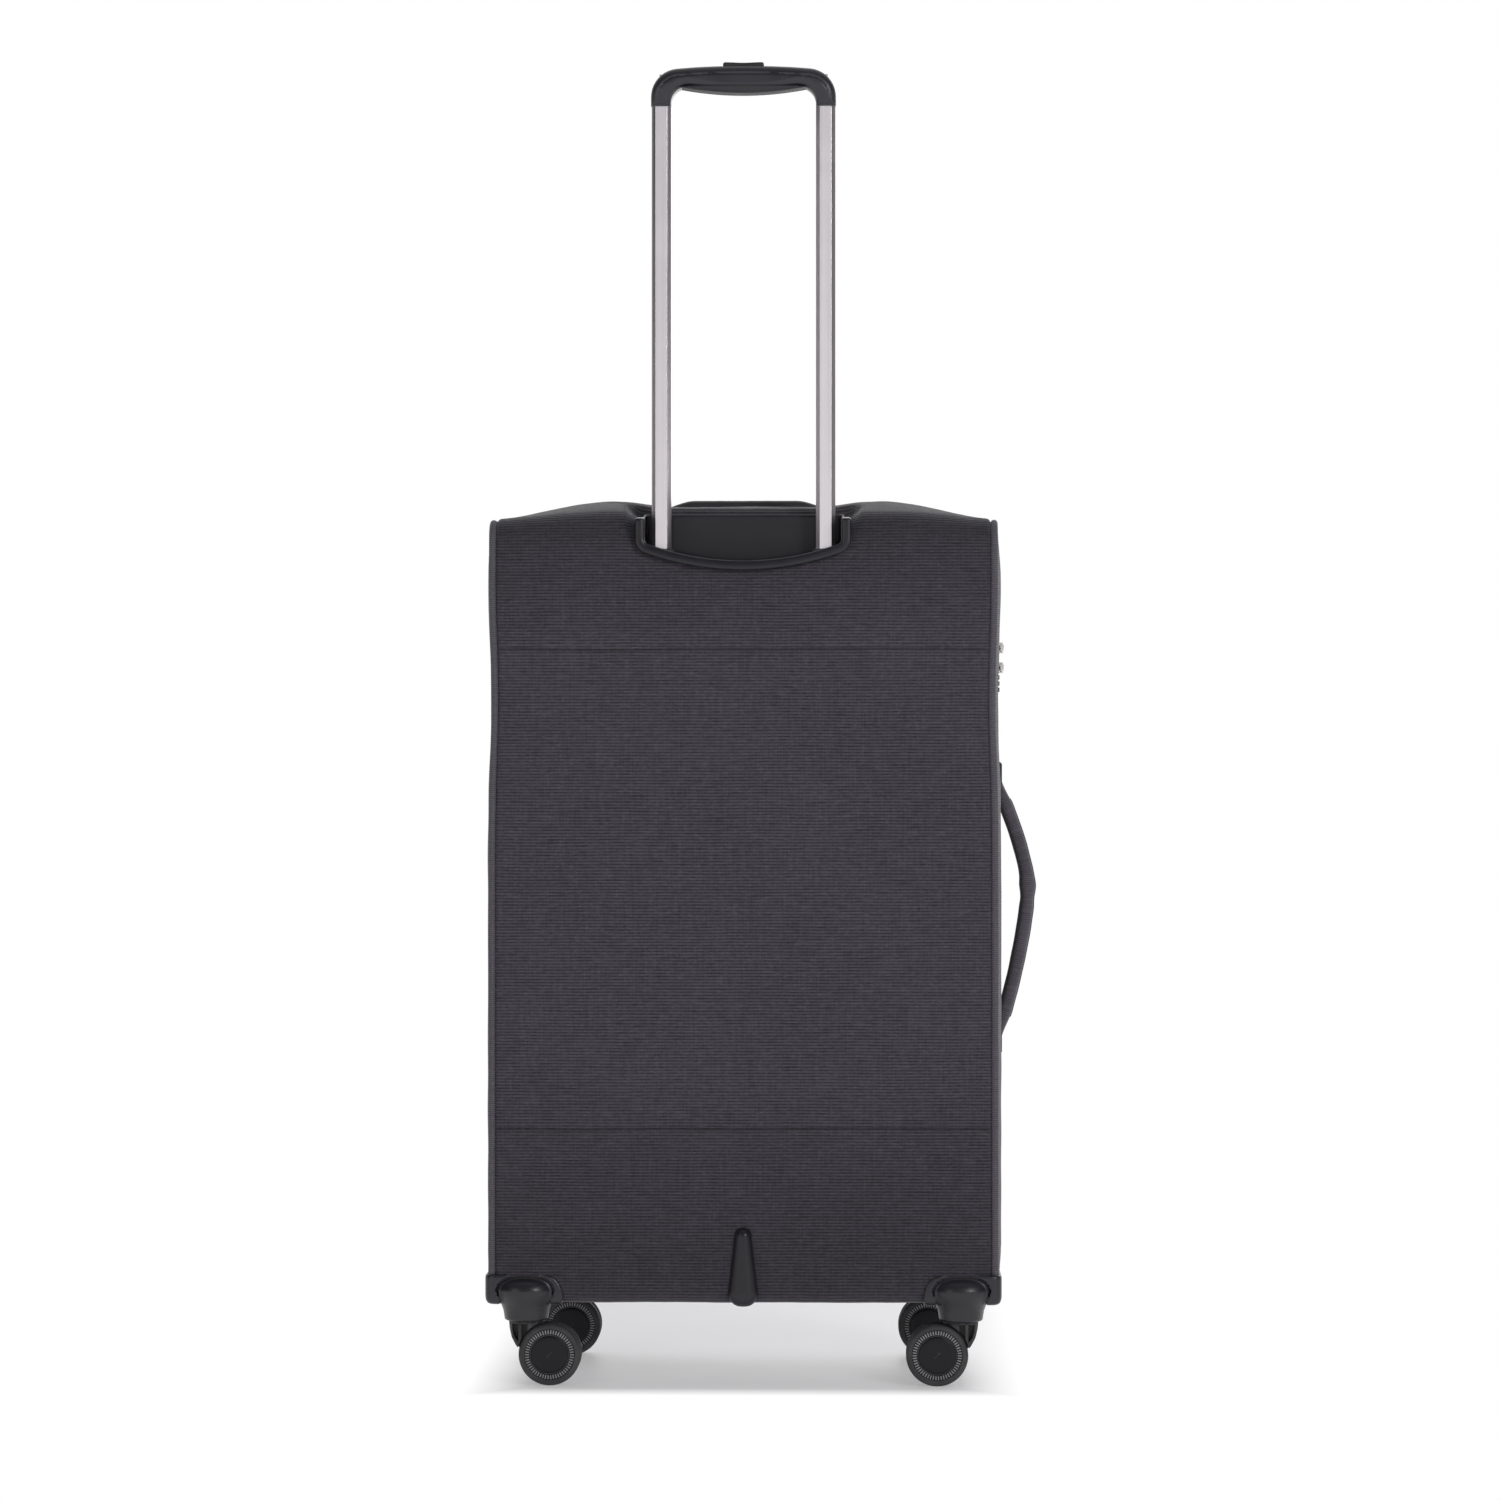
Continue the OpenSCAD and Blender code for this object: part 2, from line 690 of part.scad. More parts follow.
placed() rear_panel();
placed() left_panel();
placed() right_panel();
placed() top_panel();
placed() bottom_panel();
placed() back_board();
placed() wire_frame();
placed() trolley_bezel();
placed() outer_tubes();
placed() trolley_foot();
placed() top_carry_handle();
placed() side_carry_handle();
placed() handle_anchors();
placed() skid_guard();
placed() swivel_pins();
placed() housing_screws();
placed() lock_body();
placed() case_zip();
placed() lid_panel();
placed() lid_gusset();
placed() pocket(lid_bottom + 324, case_top - 34);  // upper_pocket
placed() pocket(lid_bottom + 18, lid_bottom + 304);  // lower_pocket
placed() lid_zip();
placed() zip_slider(upper_slider_z);  // upper_zip_slider
placed() zip_slider(lower_slider_z);  // lower_zip_slider
placed() zip_pull(upper_slider_z);  // upper_zip_pull
placed() zip_pull(lower_slider_z);  // lower_zip_pull
placed() pocket_slider(case_top - 52);  // upper_pocket_slider
placed() pocket_slider(lid_bottom + 286);  // lower_pocket_slider
for (i = [0 : 2])
    placed() lock_dial(i);
placed() lock_release();
placed() inner_tube(-1);  // inner_tube_left
placed() inner_tube(1);  // inner_tube_right
placed() grip();
placed() push_button();
placed() push_rods();
placed() lock_pin(-1);  // lock_pin_left
placed() lock_pin(1);  // lock_pin_right
for (i = [0 : 3]) {
    placed() corner_housing(i);
    placed() at_caster(i) fork();
    placed() at_caster(i) axle();
    placed() at_caster(i) wheel();
    placed() at_caster(i) mirror([0, 1, 0]) wheel();
}
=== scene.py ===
"""Looks of a softside upright suitcase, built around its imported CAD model.

Shapes are worked out in millimetres with x = 0 in the middle of the case, y = 0 and z = 0 as in the
frame, and turned into metres of the row frame where each piece is made.
"""

import math

import bmesh
import bpy
import numpy as np
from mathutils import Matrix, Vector


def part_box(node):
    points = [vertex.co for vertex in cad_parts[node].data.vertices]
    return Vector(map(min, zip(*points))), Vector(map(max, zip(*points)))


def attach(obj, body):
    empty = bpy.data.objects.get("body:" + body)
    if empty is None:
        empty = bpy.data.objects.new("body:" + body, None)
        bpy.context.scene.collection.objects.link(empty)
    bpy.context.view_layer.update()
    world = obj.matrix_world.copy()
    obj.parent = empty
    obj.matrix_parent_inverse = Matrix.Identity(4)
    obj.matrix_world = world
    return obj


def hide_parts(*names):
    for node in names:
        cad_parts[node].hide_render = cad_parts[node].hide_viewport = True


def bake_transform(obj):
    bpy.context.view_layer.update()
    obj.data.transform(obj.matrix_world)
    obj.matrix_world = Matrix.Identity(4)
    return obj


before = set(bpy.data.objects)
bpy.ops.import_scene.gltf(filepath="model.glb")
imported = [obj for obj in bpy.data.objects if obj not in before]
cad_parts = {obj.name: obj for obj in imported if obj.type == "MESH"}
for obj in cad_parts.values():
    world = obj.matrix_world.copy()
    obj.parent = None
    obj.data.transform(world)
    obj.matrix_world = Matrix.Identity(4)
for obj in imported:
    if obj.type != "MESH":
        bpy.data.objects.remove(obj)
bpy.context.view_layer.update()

# ---- Places, from the frame ----

SIDES = (-1, 1)
WHEELS = ("rl", "rr", "fl", "fr")
CENTRE = sum(c[0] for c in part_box("lid_panel")) / 2


def box_mm(node):
    """Lowest and highest corner of a CAD node, in millimetres from the middle of the case."""
    shift = np.array([CENTRE, 0, 0])
    return [(np.array(corner) - shift) * 1000 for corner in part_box(node)]


HALF_W = box_mm("lid_panel")[1][0]
TOP = box_mm("lid_panel")[1][2]
BOTTOM = box_mm("bottom_panel")[0][2]
REAR = box_mm("rear_panel")[0][1]
FRONT = box_mm("lid_panel")[1][1]
CASE_END = box_mm("left_panel")[1][1]
ZIP_Y = box_mm("lid_gusset")[0][1] - 0.2
LID_BOTTOM = box_mm("lid_panel")[0][2]
KICK_TOP = box_mm("bottom_panel")[1][2]
ARM_END = box_mm("inner_tube_left")[1][2]
TUBE_LOW, TUBE_HIGH = box_mm("inner_tube_right")
TUBE_X = (TUBE_LOW[0] + TUBE_HIGH[0]) / 2
TUBE_Y = (TUBE_LOW[1] + TUBE_HIGH[1]) / 2
MID_Y = sum(box_mm("side_carry_handle")[i][1] for i in (0, 1)) / 2


# ---- Meshes ----

def to_frame(points):
    """Millimetres from the middle of the case to metres in the row frame."""
    return np.asarray(points, float) * 0.001 + np.array([CENTRE, 0, 0])


def piece(name, points, faces, look, body, slot, uv=None, replaces=(), sharp=35, stage_only=False):
    """A mesh made from points in millimetres, riding on a CAD body. uv is in millimetres for each point."""
    mesh = bpy.data.meshes.new(name)
    mesh.from_pydata(to_frame(points).tolist(), [], [list(map(int, f)) for f in faces])
    mesh.validate()
    mesh.polygons.foreach_set("use_smooth", np.ones(len(mesh.polygons), bool))
    if uv is not None:
        layer = mesh.uv_layers.new(name="cloth")
        corner = np.zeros(len(mesh.loops), int)
        mesh.loops.foreach_get("vertex_index", corner)
        layer.data.foreach_set("uv", (np.asarray(uv)[corner] * 0.001).astype(np.float32).ravel())
    if sharp:
        mesh.set_sharp_from_angle(angle=math.radians(sharp))
    mesh.materials.append(look)
    made = bpy.data.objects.new(name, mesh)
    bpy.context.scene.collection.objects.link(made)
    if not stage_only:
        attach(made, body)
        if replaces:
            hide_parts(*replaces)
    return made


def modifier(made, kind, **settings):
    added = made.modifiers.new(kind.title(), kind)
    for key, value in settings.items():
        setattr(added, key, value)
    return added


def thicken(made, thickness):
    """Gives a sheet its thickness, in millimetres, on the side its faces don't point to."""
    modifier(made, "SOLIDIFY", thickness=thickness * 0.001, offset=-1)
    return made


def grid_faces(nu, nv, wrap_u=False, wrap_v=False, flip=False):
    """Quads of a grid of nu by nv points, numbered with v running fastest."""
    us = np.arange(nu if wrap_u else nu - 1)
    vs = np.arange(nv if wrap_v else nv - 1)
    u, v = (a.ravel() for a in np.meshgrid(us, vs, indexing="ij"))
    nxt_u, nxt_v = (u + 1) % nu, (v + 1) % nv
    quads = np.stack([u * nv + v, nxt_u * nv + v, nxt_u * nv + nxt_v, u * nv + nxt_v], 1)
    return quads[:, ::-1] if flip else quads


def join(parts):
    """Several (points, faces) as one."""
    points, faces, start = [], [], 0
    for part_points, part_faces in parts:
        points.append(np.asarray(part_points, float))
        faces += [[start + int(i) for i in f] for f in part_faces]
        start += len(part_points)
    return np.concatenate(points), faces


def arc(centre, r, a0, a1, n=8):
    angles = np.radians(np.linspace(a0, a1, n + 1))
    return np.stack([centre[0] + r * np.cos(angles), centre[1] + r * np.sin(angles)], 1)


def rounded(low, high, r, n=6):
    """Outline of a rectangle with rounded corners, anticlockwise from the high corner. r: high, left, low, right."""
    r = [r] * 4 if np.isscalar(r) else r
    return np.concatenate([
        arc((high[0] - r[0], high[1] - r[0]), r[0], 0, 90, n),
        arc((low[0] + r[1], high[1] - r[1]), r[1], 90, 180, n),
        arc((low[0] + r[2], low[1] + r[2]), r[2], 180, 270, n),
        arc((high[0] - r[3], low[1] + r[3]), r[3], 270, 360, n)])


def lengths(path):
    """Distance along a path to each of its points."""
    return np.r_[0, np.cumsum(np.linalg.norm(np.diff(path, axis=0), axis=1))]


def resampled(path, step, closed=False):
    """The same path with points at even distances of about step."""
    path = np.asarray(path, float)
    if closed:
        path = np.concatenate([path, path[:1]])
    keep = np.r_[True, np.linalg.norm(np.diff(path, axis=0), axis=1) > 1e-6]
    path = path[keep]
    along = lengths(path)
    n = max(2, int(round(along[-1] / step)) + 1)
    at = np.linspace(0, along[-1], n)
    out = np.stack([np.interp(at, along, path[:, i]) for i in range(path.shape[1])], 1)
    return out[:-1] if closed else out


def directions(path, closed=False):
    """Unit tangents of a path."""
    if closed:
        d = np.roll(path, -1, 0) - np.roll(path, 1, 0)
    else:
        d = np.gradient(path, axis=0)
    return d / np.maximum(np.linalg.norm(d, axis=1, keepdims=True), 1e-9)


def sweep(path, section, up, closed=False, scale=None):
    """(points, faces, uv) of a section carried along a path. The section's x is across, its y along up."""
    path = np.asarray(path, float)
    section = np.asarray(section, float)
    tangent = directions(path, closed)
    up = np.broadcast_to(np.asarray(up, float), path.shape)
    across = np.cross(tangent, up)
    across /= np.maximum(np.linalg.norm(across, axis=1, keepdims=True), 1e-9)
    lift = np.cross(across, tangent)
    scale = np.ones((len(path), 2)) if scale is None else np.asarray(scale, float)
    x = section[None, :, 0, None] * scale[:, None, 0, None]
    y = section[None, :, 1, None] * scale[:, None, 1, None]
    points = path[:, None] + x * across[:, None] + y * lift[:, None]
    nu, nv = len(path), len(section)
    faces = grid_faces(nu, nv, wrap_u=closed, wrap_v=True).tolist()
    if not closed:
        faces += [list(range(nv))[::-1], [(nu - 1) * nv + i for i in range(nv)]]
    along = lengths(path)
    around = lengths(section)
    uv = np.stack(np.broadcast_arrays(around[None, :], along[:, None]), -1)
    return points.reshape(-1, 3), faces, uv.reshape(-1, 2)


def swept(name, path, section, up, look, body, slot, replaces=(), across=False, **how):
    """A smooth piece made by a sweep. across turns its weave by a quarter."""
    points, faces, uv = sweep(path, section, up, **how)
    return piece(name, points, faces, look, body, slot, uv=uv[:, ::-1] if across else uv, replaces=replaces, sharp=0)


def circle(r, n):
    return arc((0, 0), r, 0, 360 - 360 / n, n - 1)


def lathe(profile, centre, n):
    """(points, faces) of a profile of (radius, y) turned about an axis along Y through centre."""
    profile = np.asarray(profile, float)
    a = np.linspace(0, 2 * np.pi, n, endpoint=False)
    x = centre[0] + profile[None, :, 0] * np.cos(a)[:, None]
    z = centre[2] + profile[None, :, 0] * np.sin(a)[:, None]
    y = np.broadcast_to(centre[1] + profile[None, :, 1], x.shape)
    points = np.stack([x, y, z], -1).reshape(-1, 3)
    return points, grid_faces(n, len(profile), wrap_u=True).tolist()


def block(low, high, bevel=0.3):
    """(points, faces) of a box with its edges cut off by bevel."""
    low, high = np.minimum(low, high).astype(float), np.maximum(low, high).astype(float)
    b = min(bevel, (high - low).min() / 2.1)
    outline = np.array([[-1, -1], [1, -1], [1, 1], [-1, 1]])
    centre, half = (low + high) / 2, (high - low) / 2
    points = []
    for axis in range(3):
        others = [i for i in range(3) if i != axis]
        for s in SIDES:
            for o in outline:
                p = np.zeros(3)
                p[axis] = s * half[axis]
                p[others[0]] = o[0] * (half[others[0]] - b)
                p[others[1]] = o[1] * (half[others[1]] - b)
                points.append(centre + p)
    points = np.array(points)
    return points, hull_faces(points)


def hull_faces(points):
    """Faces of the convex hull of points."""
    bm = bmesh.new()
    bmesh.ops.convex_hull(bm, input=[bm.verts.new(p) for p in points])
    bm.verts.index_update()
    bmesh.ops.join_triangles(bm, faces=bm.faces, angle_face_threshold=0.01, angle_shape_threshold=0.7)
    faces = [[v.index for v in f.verts] for f in bm.faces]
    bm.free()
    return faces


# ---- Solids from distance fields ----

def smooth_min(a, b, k):
    h = np.clip(0.5 + 0.5 * (b - a) / k, 0, 1)
    return b + (a - b) * h - k * h * (1 - h)


def smooth_max(a, b, k):
    return -smooth_min(-a, -b, k)


def box_field(p, low, high, r=0.0):
    low, high = np.minimum(low, high), np.maximum(low, high)
    q = np.abs(p - (low + high) / 2) - (high - low) / 2 + r
    return np.linalg.norm(np.maximum(q, 0), axis=1) + np.minimum(q.max(1), 0) - r


def outline_field(p, outline):
    """Signed distance of flat points from a closed outline, negative inside."""
    best = np.full(len(p), 1e9)
    inside = np.zeros(len(p), bool)
    for a, b in zip(outline, np.roll(outline, -1, 0)):
        e, q = b - a, p - a
        t = np.clip((q @ e) / max(e @ e, 1e-12), 0, 1)
        best = np.minimum(best, ((q - t[:, None] * e) ** 2).sum(1))
        if a[1] != b[1]:
            crosses = (a[1] > p[:, 1]) != (b[1] > p[:, 1])
            inside ^= crosses & (q[:, 0] < q[:, 1] * e[0] / e[1])
    return np.where(inside, -1, 1) * np.sqrt(best)


def slab_field(flat, w, half, r):
    """A flat field made a slab of half thickness half with edges rounded by r."""
    a, b = flat + r, np.abs(w) - half + r
    return np.hypot(np.maximum(a, 0), np.maximum(b, 0)) + np.minimum(np.maximum(a, b), 0) - r


def solid(field, low, high, step):
    """(points, faces) of the surface where field is zero, by surface nets drawn on to the surface."""
    low, high = np.asarray(low, float) - 2 * step, np.asarray(high, float) + 2 * step
    n = np.ceil((high - low) / step).astype(int) + 1
    axes = [low[i] + step * np.arange(n[i]) for i in range(3)]
    grid = np.stack(np.meshgrid(*axes, indexing="ij"), -1)
    value = field(grid.reshape(-1, 3)).reshape(n)
    total = np.zeros((*(n - 1), 3))
    hits = np.zeros(n - 1)
    edges = []
    for axis in range(3):
        first = value[tuple(slice(0, -1) if i == axis else slice(None) for i in range(3))]
        second = value[tuple(slice(1, None) if i == axis else slice(None) for i in range(3))]
        at = np.argwhere((first < 0) != (second < 0))
        b, c = (axis + 1) % 3, (axis + 2) % 3
        at = at[(at[:, b] > 0) & (at[:, c] > 0) & (at[:, b] < n[b] - 1) & (at[:, c] < n[c] - 1)]
        f, s = first[tuple(at.T)], second[tuple(at.T)]
        point = at.astype(float)
        point[:, axis] += f / (f - s)
        cells = []
        for db, dc in ((-1, -1), (0, -1), (0, 0), (-1, 0)):
            cell = at.copy()
            cell[:, b] += db
            cell[:, c] += dc
            cells.append(cell)
            np.add.at(total, tuple(cell.T), point)
            np.add.at(hits, tuple(cell.T), 1)
        edges.append((cells, f < 0))
    used = hits > 0
    number = -np.ones(n - 1, int)
    number[used] = np.arange(used.sum())
    points = low + step * total[used] / hits[used][:, None]
    faces = []
    for cells, outward in edges:
        quads = np.stack([number[tuple(c.T)] for c in cells], 1)
        faces.append(np.where(outward[:, None], quads, quads[:, ::-1]))
    small = step * 0.05
    for _ in range(3):
        f = field(points)
        slope = np.stack([(field(points + small * axis) - field(points - small * axis)) / (2 * small)
                          for axis in np.eye(3)], 1)
        move = -f[:, None] * slope / np.maximum((slope ** 2).sum(1), 0.05)[:, None]
        length = np.linalg.norm(move, axis=1, keepdims=True)
        points = points + move * np.minimum(1, 0.4 * step / np.maximum(length, 1e-9))
    return points, np.concatenate(faces)


def mirrored(shape, x=False, y=False):
    """(points, faces) mirrored across the middle of the case in x, in y, or both."""
    points = np.array(shape[0]) * [-1 if x else 1, -1 if y else 1, 1]
    return points, [list(f)[::-1] for f in shape[1]] if x != y else shape[1]


# ---- Materials ----

class Nodes:
    """A node tree under construction."""

    def __init__(self, tree):
        self.tree = tree

    def put(self, socket, value):
        if isinstance(value, bpy.types.NodeSocket):
            self.tree.links.new(value, socket)
        else:
            socket.default_value = value

    def node(self, kind, inputs=None, **settings):
        made = self.tree.nodes.new("ShaderNode" + kind)
        for key, value in settings.items():
            setattr(made, key, value)
        for key, value in (inputs or {}).items():
            self.put(made.inputs[key], value)
        return made

    def math(self, operation, a, b=0.0, c=0.0):
        return self.node("Math", {0: a, 1: b, 2: c}, operation=operation).outputs[0]

    def add(self, a, b):
        return self.math("ADD", a, b)

    def mul(self, a, b):
        return self.math("MULTIPLY", a, b)

    def madd(self, a, b, c):
        """a times b plus c."""
        return self.math("MULTIPLY_ADD", a, b, c)

    def max(self, a, b):
        return self.math("MAXIMUM", a, b)

    def noise(self, at, scale, detail):
        return self.node("TexNoise", {"Vector": at, "Scale": scale, "Detail": detail, "Roughness": 0.55}).outputs[0]

    def vector(self, x, y, z=0.0):
        return self.node("CombineXYZ", {0: x, 1: y, 2: z}).outputs[0]

    def split(self, vector):
        return tuple(self.node("SeparateXYZ", {0: vector}).outputs)

    def ramp(self, value, low, high, a=0.0, b=1.0):
        return self.node("MapRange", {0: value, 1: low, 2: high, 3: a, 4: b}).outputs[0]

    def mix(self, share, a, b):
        colours = {6: (*a, 1) if isinstance(a, tuple) else a, 7: (*b, 1) if isinstance(b, tuple) else b}
        return self.node("Mix", {0: share, **colours}, data_type="RGBA").outputs[2]


class Look(Nodes):
    """A node material under construction."""

    def __init__(self, name, color=(0.5, 0.5, 0.5), **surface):
        self.material = bpy.data.materials.new(name)
        self.material.use_nodes = True
        super().__init__(self.material.node_tree)
        self.shader = self.tree.nodes["Principled BSDF"]
        self.put(self.shader.inputs["Base Color"], (*color, 1))
        for socket, value in surface.items():
            self.put(self.shader.inputs[socket.replace("_", " ")], value)

    def object_at(self):
        return self.node("TexCoord").outputs["Object"]

    def cloth_at(self):
        """Place on the cloth, across and along the weave, in metres."""
        return self.split(self.node("UVMap", uv_map="cloth").outputs[0])[:2]

    def color(self, value):
        self.put(self.shader.inputs["Base Color"], value)

    def rough(self, value):
        self.put(self.shader.inputs["Roughness"], value)

    def bump(self, height, distance):
        made = self.node("Bump", {"Strength": 1.0, "Distance": distance * 0.001, "Height": height})
        self.put(self.shader.inputs["Normal"], made.outputs[0])

    def wear(self):
        """How far an edge sticks out, from 0 to 1, broken up by noise."""
        edge = self.node("NewGeometry").outputs["Pointiness"]
        patchy = self.noise(self.object_at(), 90, 4)
        return self.mul(self.ramp(edge, 0.54, 0.62), self.ramp(patchy, 0.4, 0.7))


def wave(look, value, period):
    """A wave from 0 to 1 along value, with a period in millimetres."""
    turns = look.mul(value, 2 * math.pi / (period * 0.001))
    return look.madd(look.math("SINE", turns), 0.5, 0.5)


def woven(name, dark, light, rib=2.4, thread=1.3, depth=0.16, end_shade=0.0):
    """Ribbed cloth: weft yarns that change tone along their length, crossed by warp threads, with painted shade that
    darkens it towards its low and high ends.
    """
    look = Look(name, Sheen_Weight=0.25, Sheen_Roughness=0.45, Specular_IOR_Level=0.3)
    u, v = look.cloth_at()
    drift = look.noise(look.vector(u, v), 14, 2)
    v_bent = look.madd(drift, 0.0016, v)
    row = look.math("FLOOR", look.math("DIVIDE", v_bent, rib * 0.0005))
    streak = look.noise(look.vector(look.mul(u, 70), look.mul(row, 3.7)), 1, 3)
    fleck = look.noise(look.vector(look.mul(u, 260), look.mul(row, 9.1)), 1, 1)
    warp = look.noise(look.vector(look.mul(u, 700), look.mul(v, 25)), 1, 2)
    ribs, threads = wave(look, v_bent, rib), wave(look, u, thread)
    cloud = look.noise(look.vector(u, v), 9, 3)
    tone = look.madd(look.ramp(streak, 0.3, 0.72), 0.26, look.mul(ribs, 0.42))
    tone = look.madd(look.ramp(fleck, 0.45, 0.75), 0.22, tone)
    tone = look.madd(look.ramp(warp, 0.35, 0.7), 0.12, tone)
    tone = look.madd(look.ramp(cloud, 0.3, 0.7, -0.5, 0.5), 0.05, tone)
    # Painted shade: the cloth is darkened by height, low down and near the top, in place of the light falling off low
    # and the shade where the cloth turns over the top.
    height = look.split(look.object_at())[2]
    shaded_ends = look.add(look.ramp(height, 0.24, 0.10), look.ramp(height, 0.56, 0.66))
    unshaded_share = look.madd(shaded_ends, -end_shade, 1.0)
    look.color(look.mix(unshaded_share, (0.0, 0.0, 0.0), look.mix(tone, dark, light)))
    look.rough(look.ramp(tone, 0, 1, 0.95, 0.72))
    weave = look.madd(threads, 0.35, ribs)
    weave = look.madd(streak, 0.8, weave)
    look.bump(weave, depth)
    return look.material


def moulded(name, color, rough=0.42, grain=0.03, worn=(0.12, 0.12, 0.125), spec=0.45):
    """Moulded plastic: fine spark-eroded grain, uneven gloss and scuffed edges."""
    look = Look(name, Specular_IOR_Level=spec)
    at = look.object_at()
    blotch, fine = look.noise(at, 26, 4), look.noise(at, 1500, 2)
    scuff = look.wear()
    tint = look.mix(look.ramp(blotch, 0.35, 0.65), tuple(c * 0.85 for c in color), tuple(c * 1.15 for c in color))
    look.color(look.mix(look.mul(scuff, 0.5), tint, worn))
    gloss = look.madd(look.ramp(blotch, 0.3, 0.7, -0.5, 0.5), 0.14, rough)
    look.rough(look.madd(scuff, 0.2, gloss))
    look.bump(fine, grain)
    return look.material


def tyre_rubber():
    look = Look("tyre_rubber", Specular_IOR_Level=0.35)
    at = look.object_at()
    dust, fine = look.noise(at, 60, 5), look.noise(at, 1100, 2)
    look.color(look.mix(look.ramp(dust, 0.42, 0.75), (0.032, 0.031, 0.034), (0.066, 0.063, 0.067)))
    look.rough(look.ramp(dust, 0.3, 0.7, 0.5, 0.72))
    look.bump(fine, 0.03)
    return look.material


def soft_rubber():
    look = Look("soft_rubber", Specular_IOR_Level=0.35)
    at = look.object_at()
    fine, blotch = look.noise(at, 2200, 2), look.noise(at, 30, 3)
    look.color(look.mix(blotch, (0.018, 0.018, 0.021), (0.030, 0.030, 0.035)))
    look.rough(look.ramp(blotch, 0.3, 0.7, 0.5, 0.62))
    look.bump(fine, 0.04)
    return look.material


def anodised():
    """Aluminium tube: soft draw lines along Z, a faint warm tint and handling marks."""
    look = Look("anodised_aluminium", Metallic=1.0, Anisotropic=0.5)
    x, y, z = look.split(look.object_at())
    lines = look.noise(look.vector(look.mul(x, 420), look.mul(y, 420), look.mul(z, 2)), 1, 1)
    marks = look.noise(look.object_at(), 45, 4)
    look.color(look.mix(lines, (0.70, 0.655, 0.685), (0.83, 0.785, 0.815)))
    look.rough(look.madd(look.ramp(marks, 0.45, 0.8), 0.03, look.ramp(lines, 0.2, 0.8, 0.27, 0.30)))
    return look.material


def metal(name, color, rough=0.3):
    """Plated metal, unevenly bright, with fine scratches."""
    look = Look(name, Metallic=1.0)
    at = look.object_at()
    fine, blotch = look.noise(at, 900, 4), look.noise(at, 120, 3)
    look.color(look.mix(blotch, tuple(c * 0.8 for c in color), color))
    look.rough(look.madd(fine, 0.12, rough - 0.06))
    look.bump(fine, 0.008)
    return look.material


def lining_cloth():
    """Thin nylon lining with a fine square ripstop grid."""
    look = Look("lining_cloth", Sheen_Weight=0.2, Specular_IOR_Level=0.35)
    u, v = look.cloth_at()
    soft = look.noise(look.vector(u, v), 11, 4)
    grid = look.max(look.math("POWER", wave(look, u, 5.0), 14.0), look.math("POWER", wave(look, v, 5.0), 14.0))
    fine = look.mul(wave(look, u, 0.8), wave(look, v, 0.8))
    look.color(look.mix(look.madd(soft, 0.6, look.mul(grid, 0.35)), (0.055, 0.055, 0.06), (0.15, 0.15, 0.16)))
    look.rough(look.ramp(soft, 0.3, 0.7, 0.5, 0.66))
    look.bump(look.madd(soft, 7.0, look.add(grid, fine)), 0.18)
    return look.material


def mesh_cloth():
    """Netting of a lid pocket: holes between threads."""
    look = Look("mesh_cloth", color=(0.02, 0.02, 0.022), Roughness=0.75, Sheen_Weight=0.2)
    u, v = look.cloth_at()
    a = wave(look, look.add(u, v), 3.4)
    b = wave(look, look.math("SUBTRACT", u, v), 3.4)
    thread = look.max(a, b)
    look.put(look.shader.inputs["Alpha"], look.math("GREATER_THAN", thread, 0.80))
    look.bump(thread, 0.2)
    return look.material


def webbing(name, color):
    """Flat woven tape: chevron ribs along its length."""
    look = Look(name, Sheen_Weight=0.25, Specular_IOR_Level=0.3)
    u, v = look.cloth_at()
    chevron = wave(look, look.add(v, look.math("PINGPONG", u, 0.0025)), 1.3)
    soft = look.noise(look.vector(u, v), 60, 3)
    look.color(look.mix(look.madd(soft, 0.5, look.mul(chevron, 0.5)),
                        tuple(c * 0.55 for c in color), tuple(c * 1.5 for c in color)))
    look.rough(0.85)
    look.bump(look.add(chevron, soft), 0.2)
    return look.material


def floor_paper():
    """White paper, lit evenly to pure white all round the case's own shadow."""
    look = Look("floor_paper", Specular_IOR_Level=0.35)
    at = look.object_at()
    grain = look.noise(at, 3, 3)
    look.color(look.mix(grain, (0.80, 0.79, 0.845), (0.83, 0.82, 0.865)))
    look.rough(look.ramp(grain, 0.3, 0.7, 0.42, 0.5))
    x, y, _ = look.split(at)
    aside = look.math("ABSOLUTE", look.math("SUBTRACT", x, CENTRE))
    half, rear, front = HALF_W * 0.001, REAR * 0.001, FRONT * 0.001
    bare = look.max(look.ramp(aside, half * 0.85, half * 1.08), look.ramp(y, rear * 1.08, rear * 1.45))
    bare = look.max(bare, look.ramp(y, front * 4.6, front * 6.4))
    share = look.madd(bare, 1 - PAPER_GLOW, PAPER_GLOW)
    white = look.node("Emission", {"Strength": 1.0})
    both = look.node("MixShader", {0: share, 1: look.shader.outputs[0], 2: white.outputs[0]})
    look.put(look.tree.nodes["Material Output"].inputs["Surface"], both.outputs[0])
    return look.material


PAPER_GLOW = 0.32
# The case cloth is darkened with painted shade towards its bottom and top.
FABRIC = woven("case_fabric", (0.0115, 0.0105, 0.0145), (0.088, 0.0775, 0.103), depth=0.2, end_shade=0.33)
PIPING = woven("piping_fabric", (0.038, 0.035, 0.043), (0.135, 0.125, 0.15), rib=1.6, thread=1.6, depth=0.1)
TAPE = webbing("zip_tape", (0.022, 0.022, 0.024))
STRAP = webbing("strap_webbing", (0.05, 0.05, 0.055))
LINING = lining_cloth()
NET = mesh_cloth()
BEZEL = moulded("bezel_plastic", (0.0105, 0.010, 0.0145), rough=0.34, grain=0.02, spec=0.38)
COVER = moulded("cover_plastic", (0.0145, 0.014, 0.0185), rough=0.36, spec=0.46)
FORK = moulded("fork_plastic", (0.018, 0.018, 0.020), rough=0.46)
CAP = moulded("cap_plastic", (0.006, 0.0056, 0.0085), rough=0.36, grain=0.01, spec=0.26)
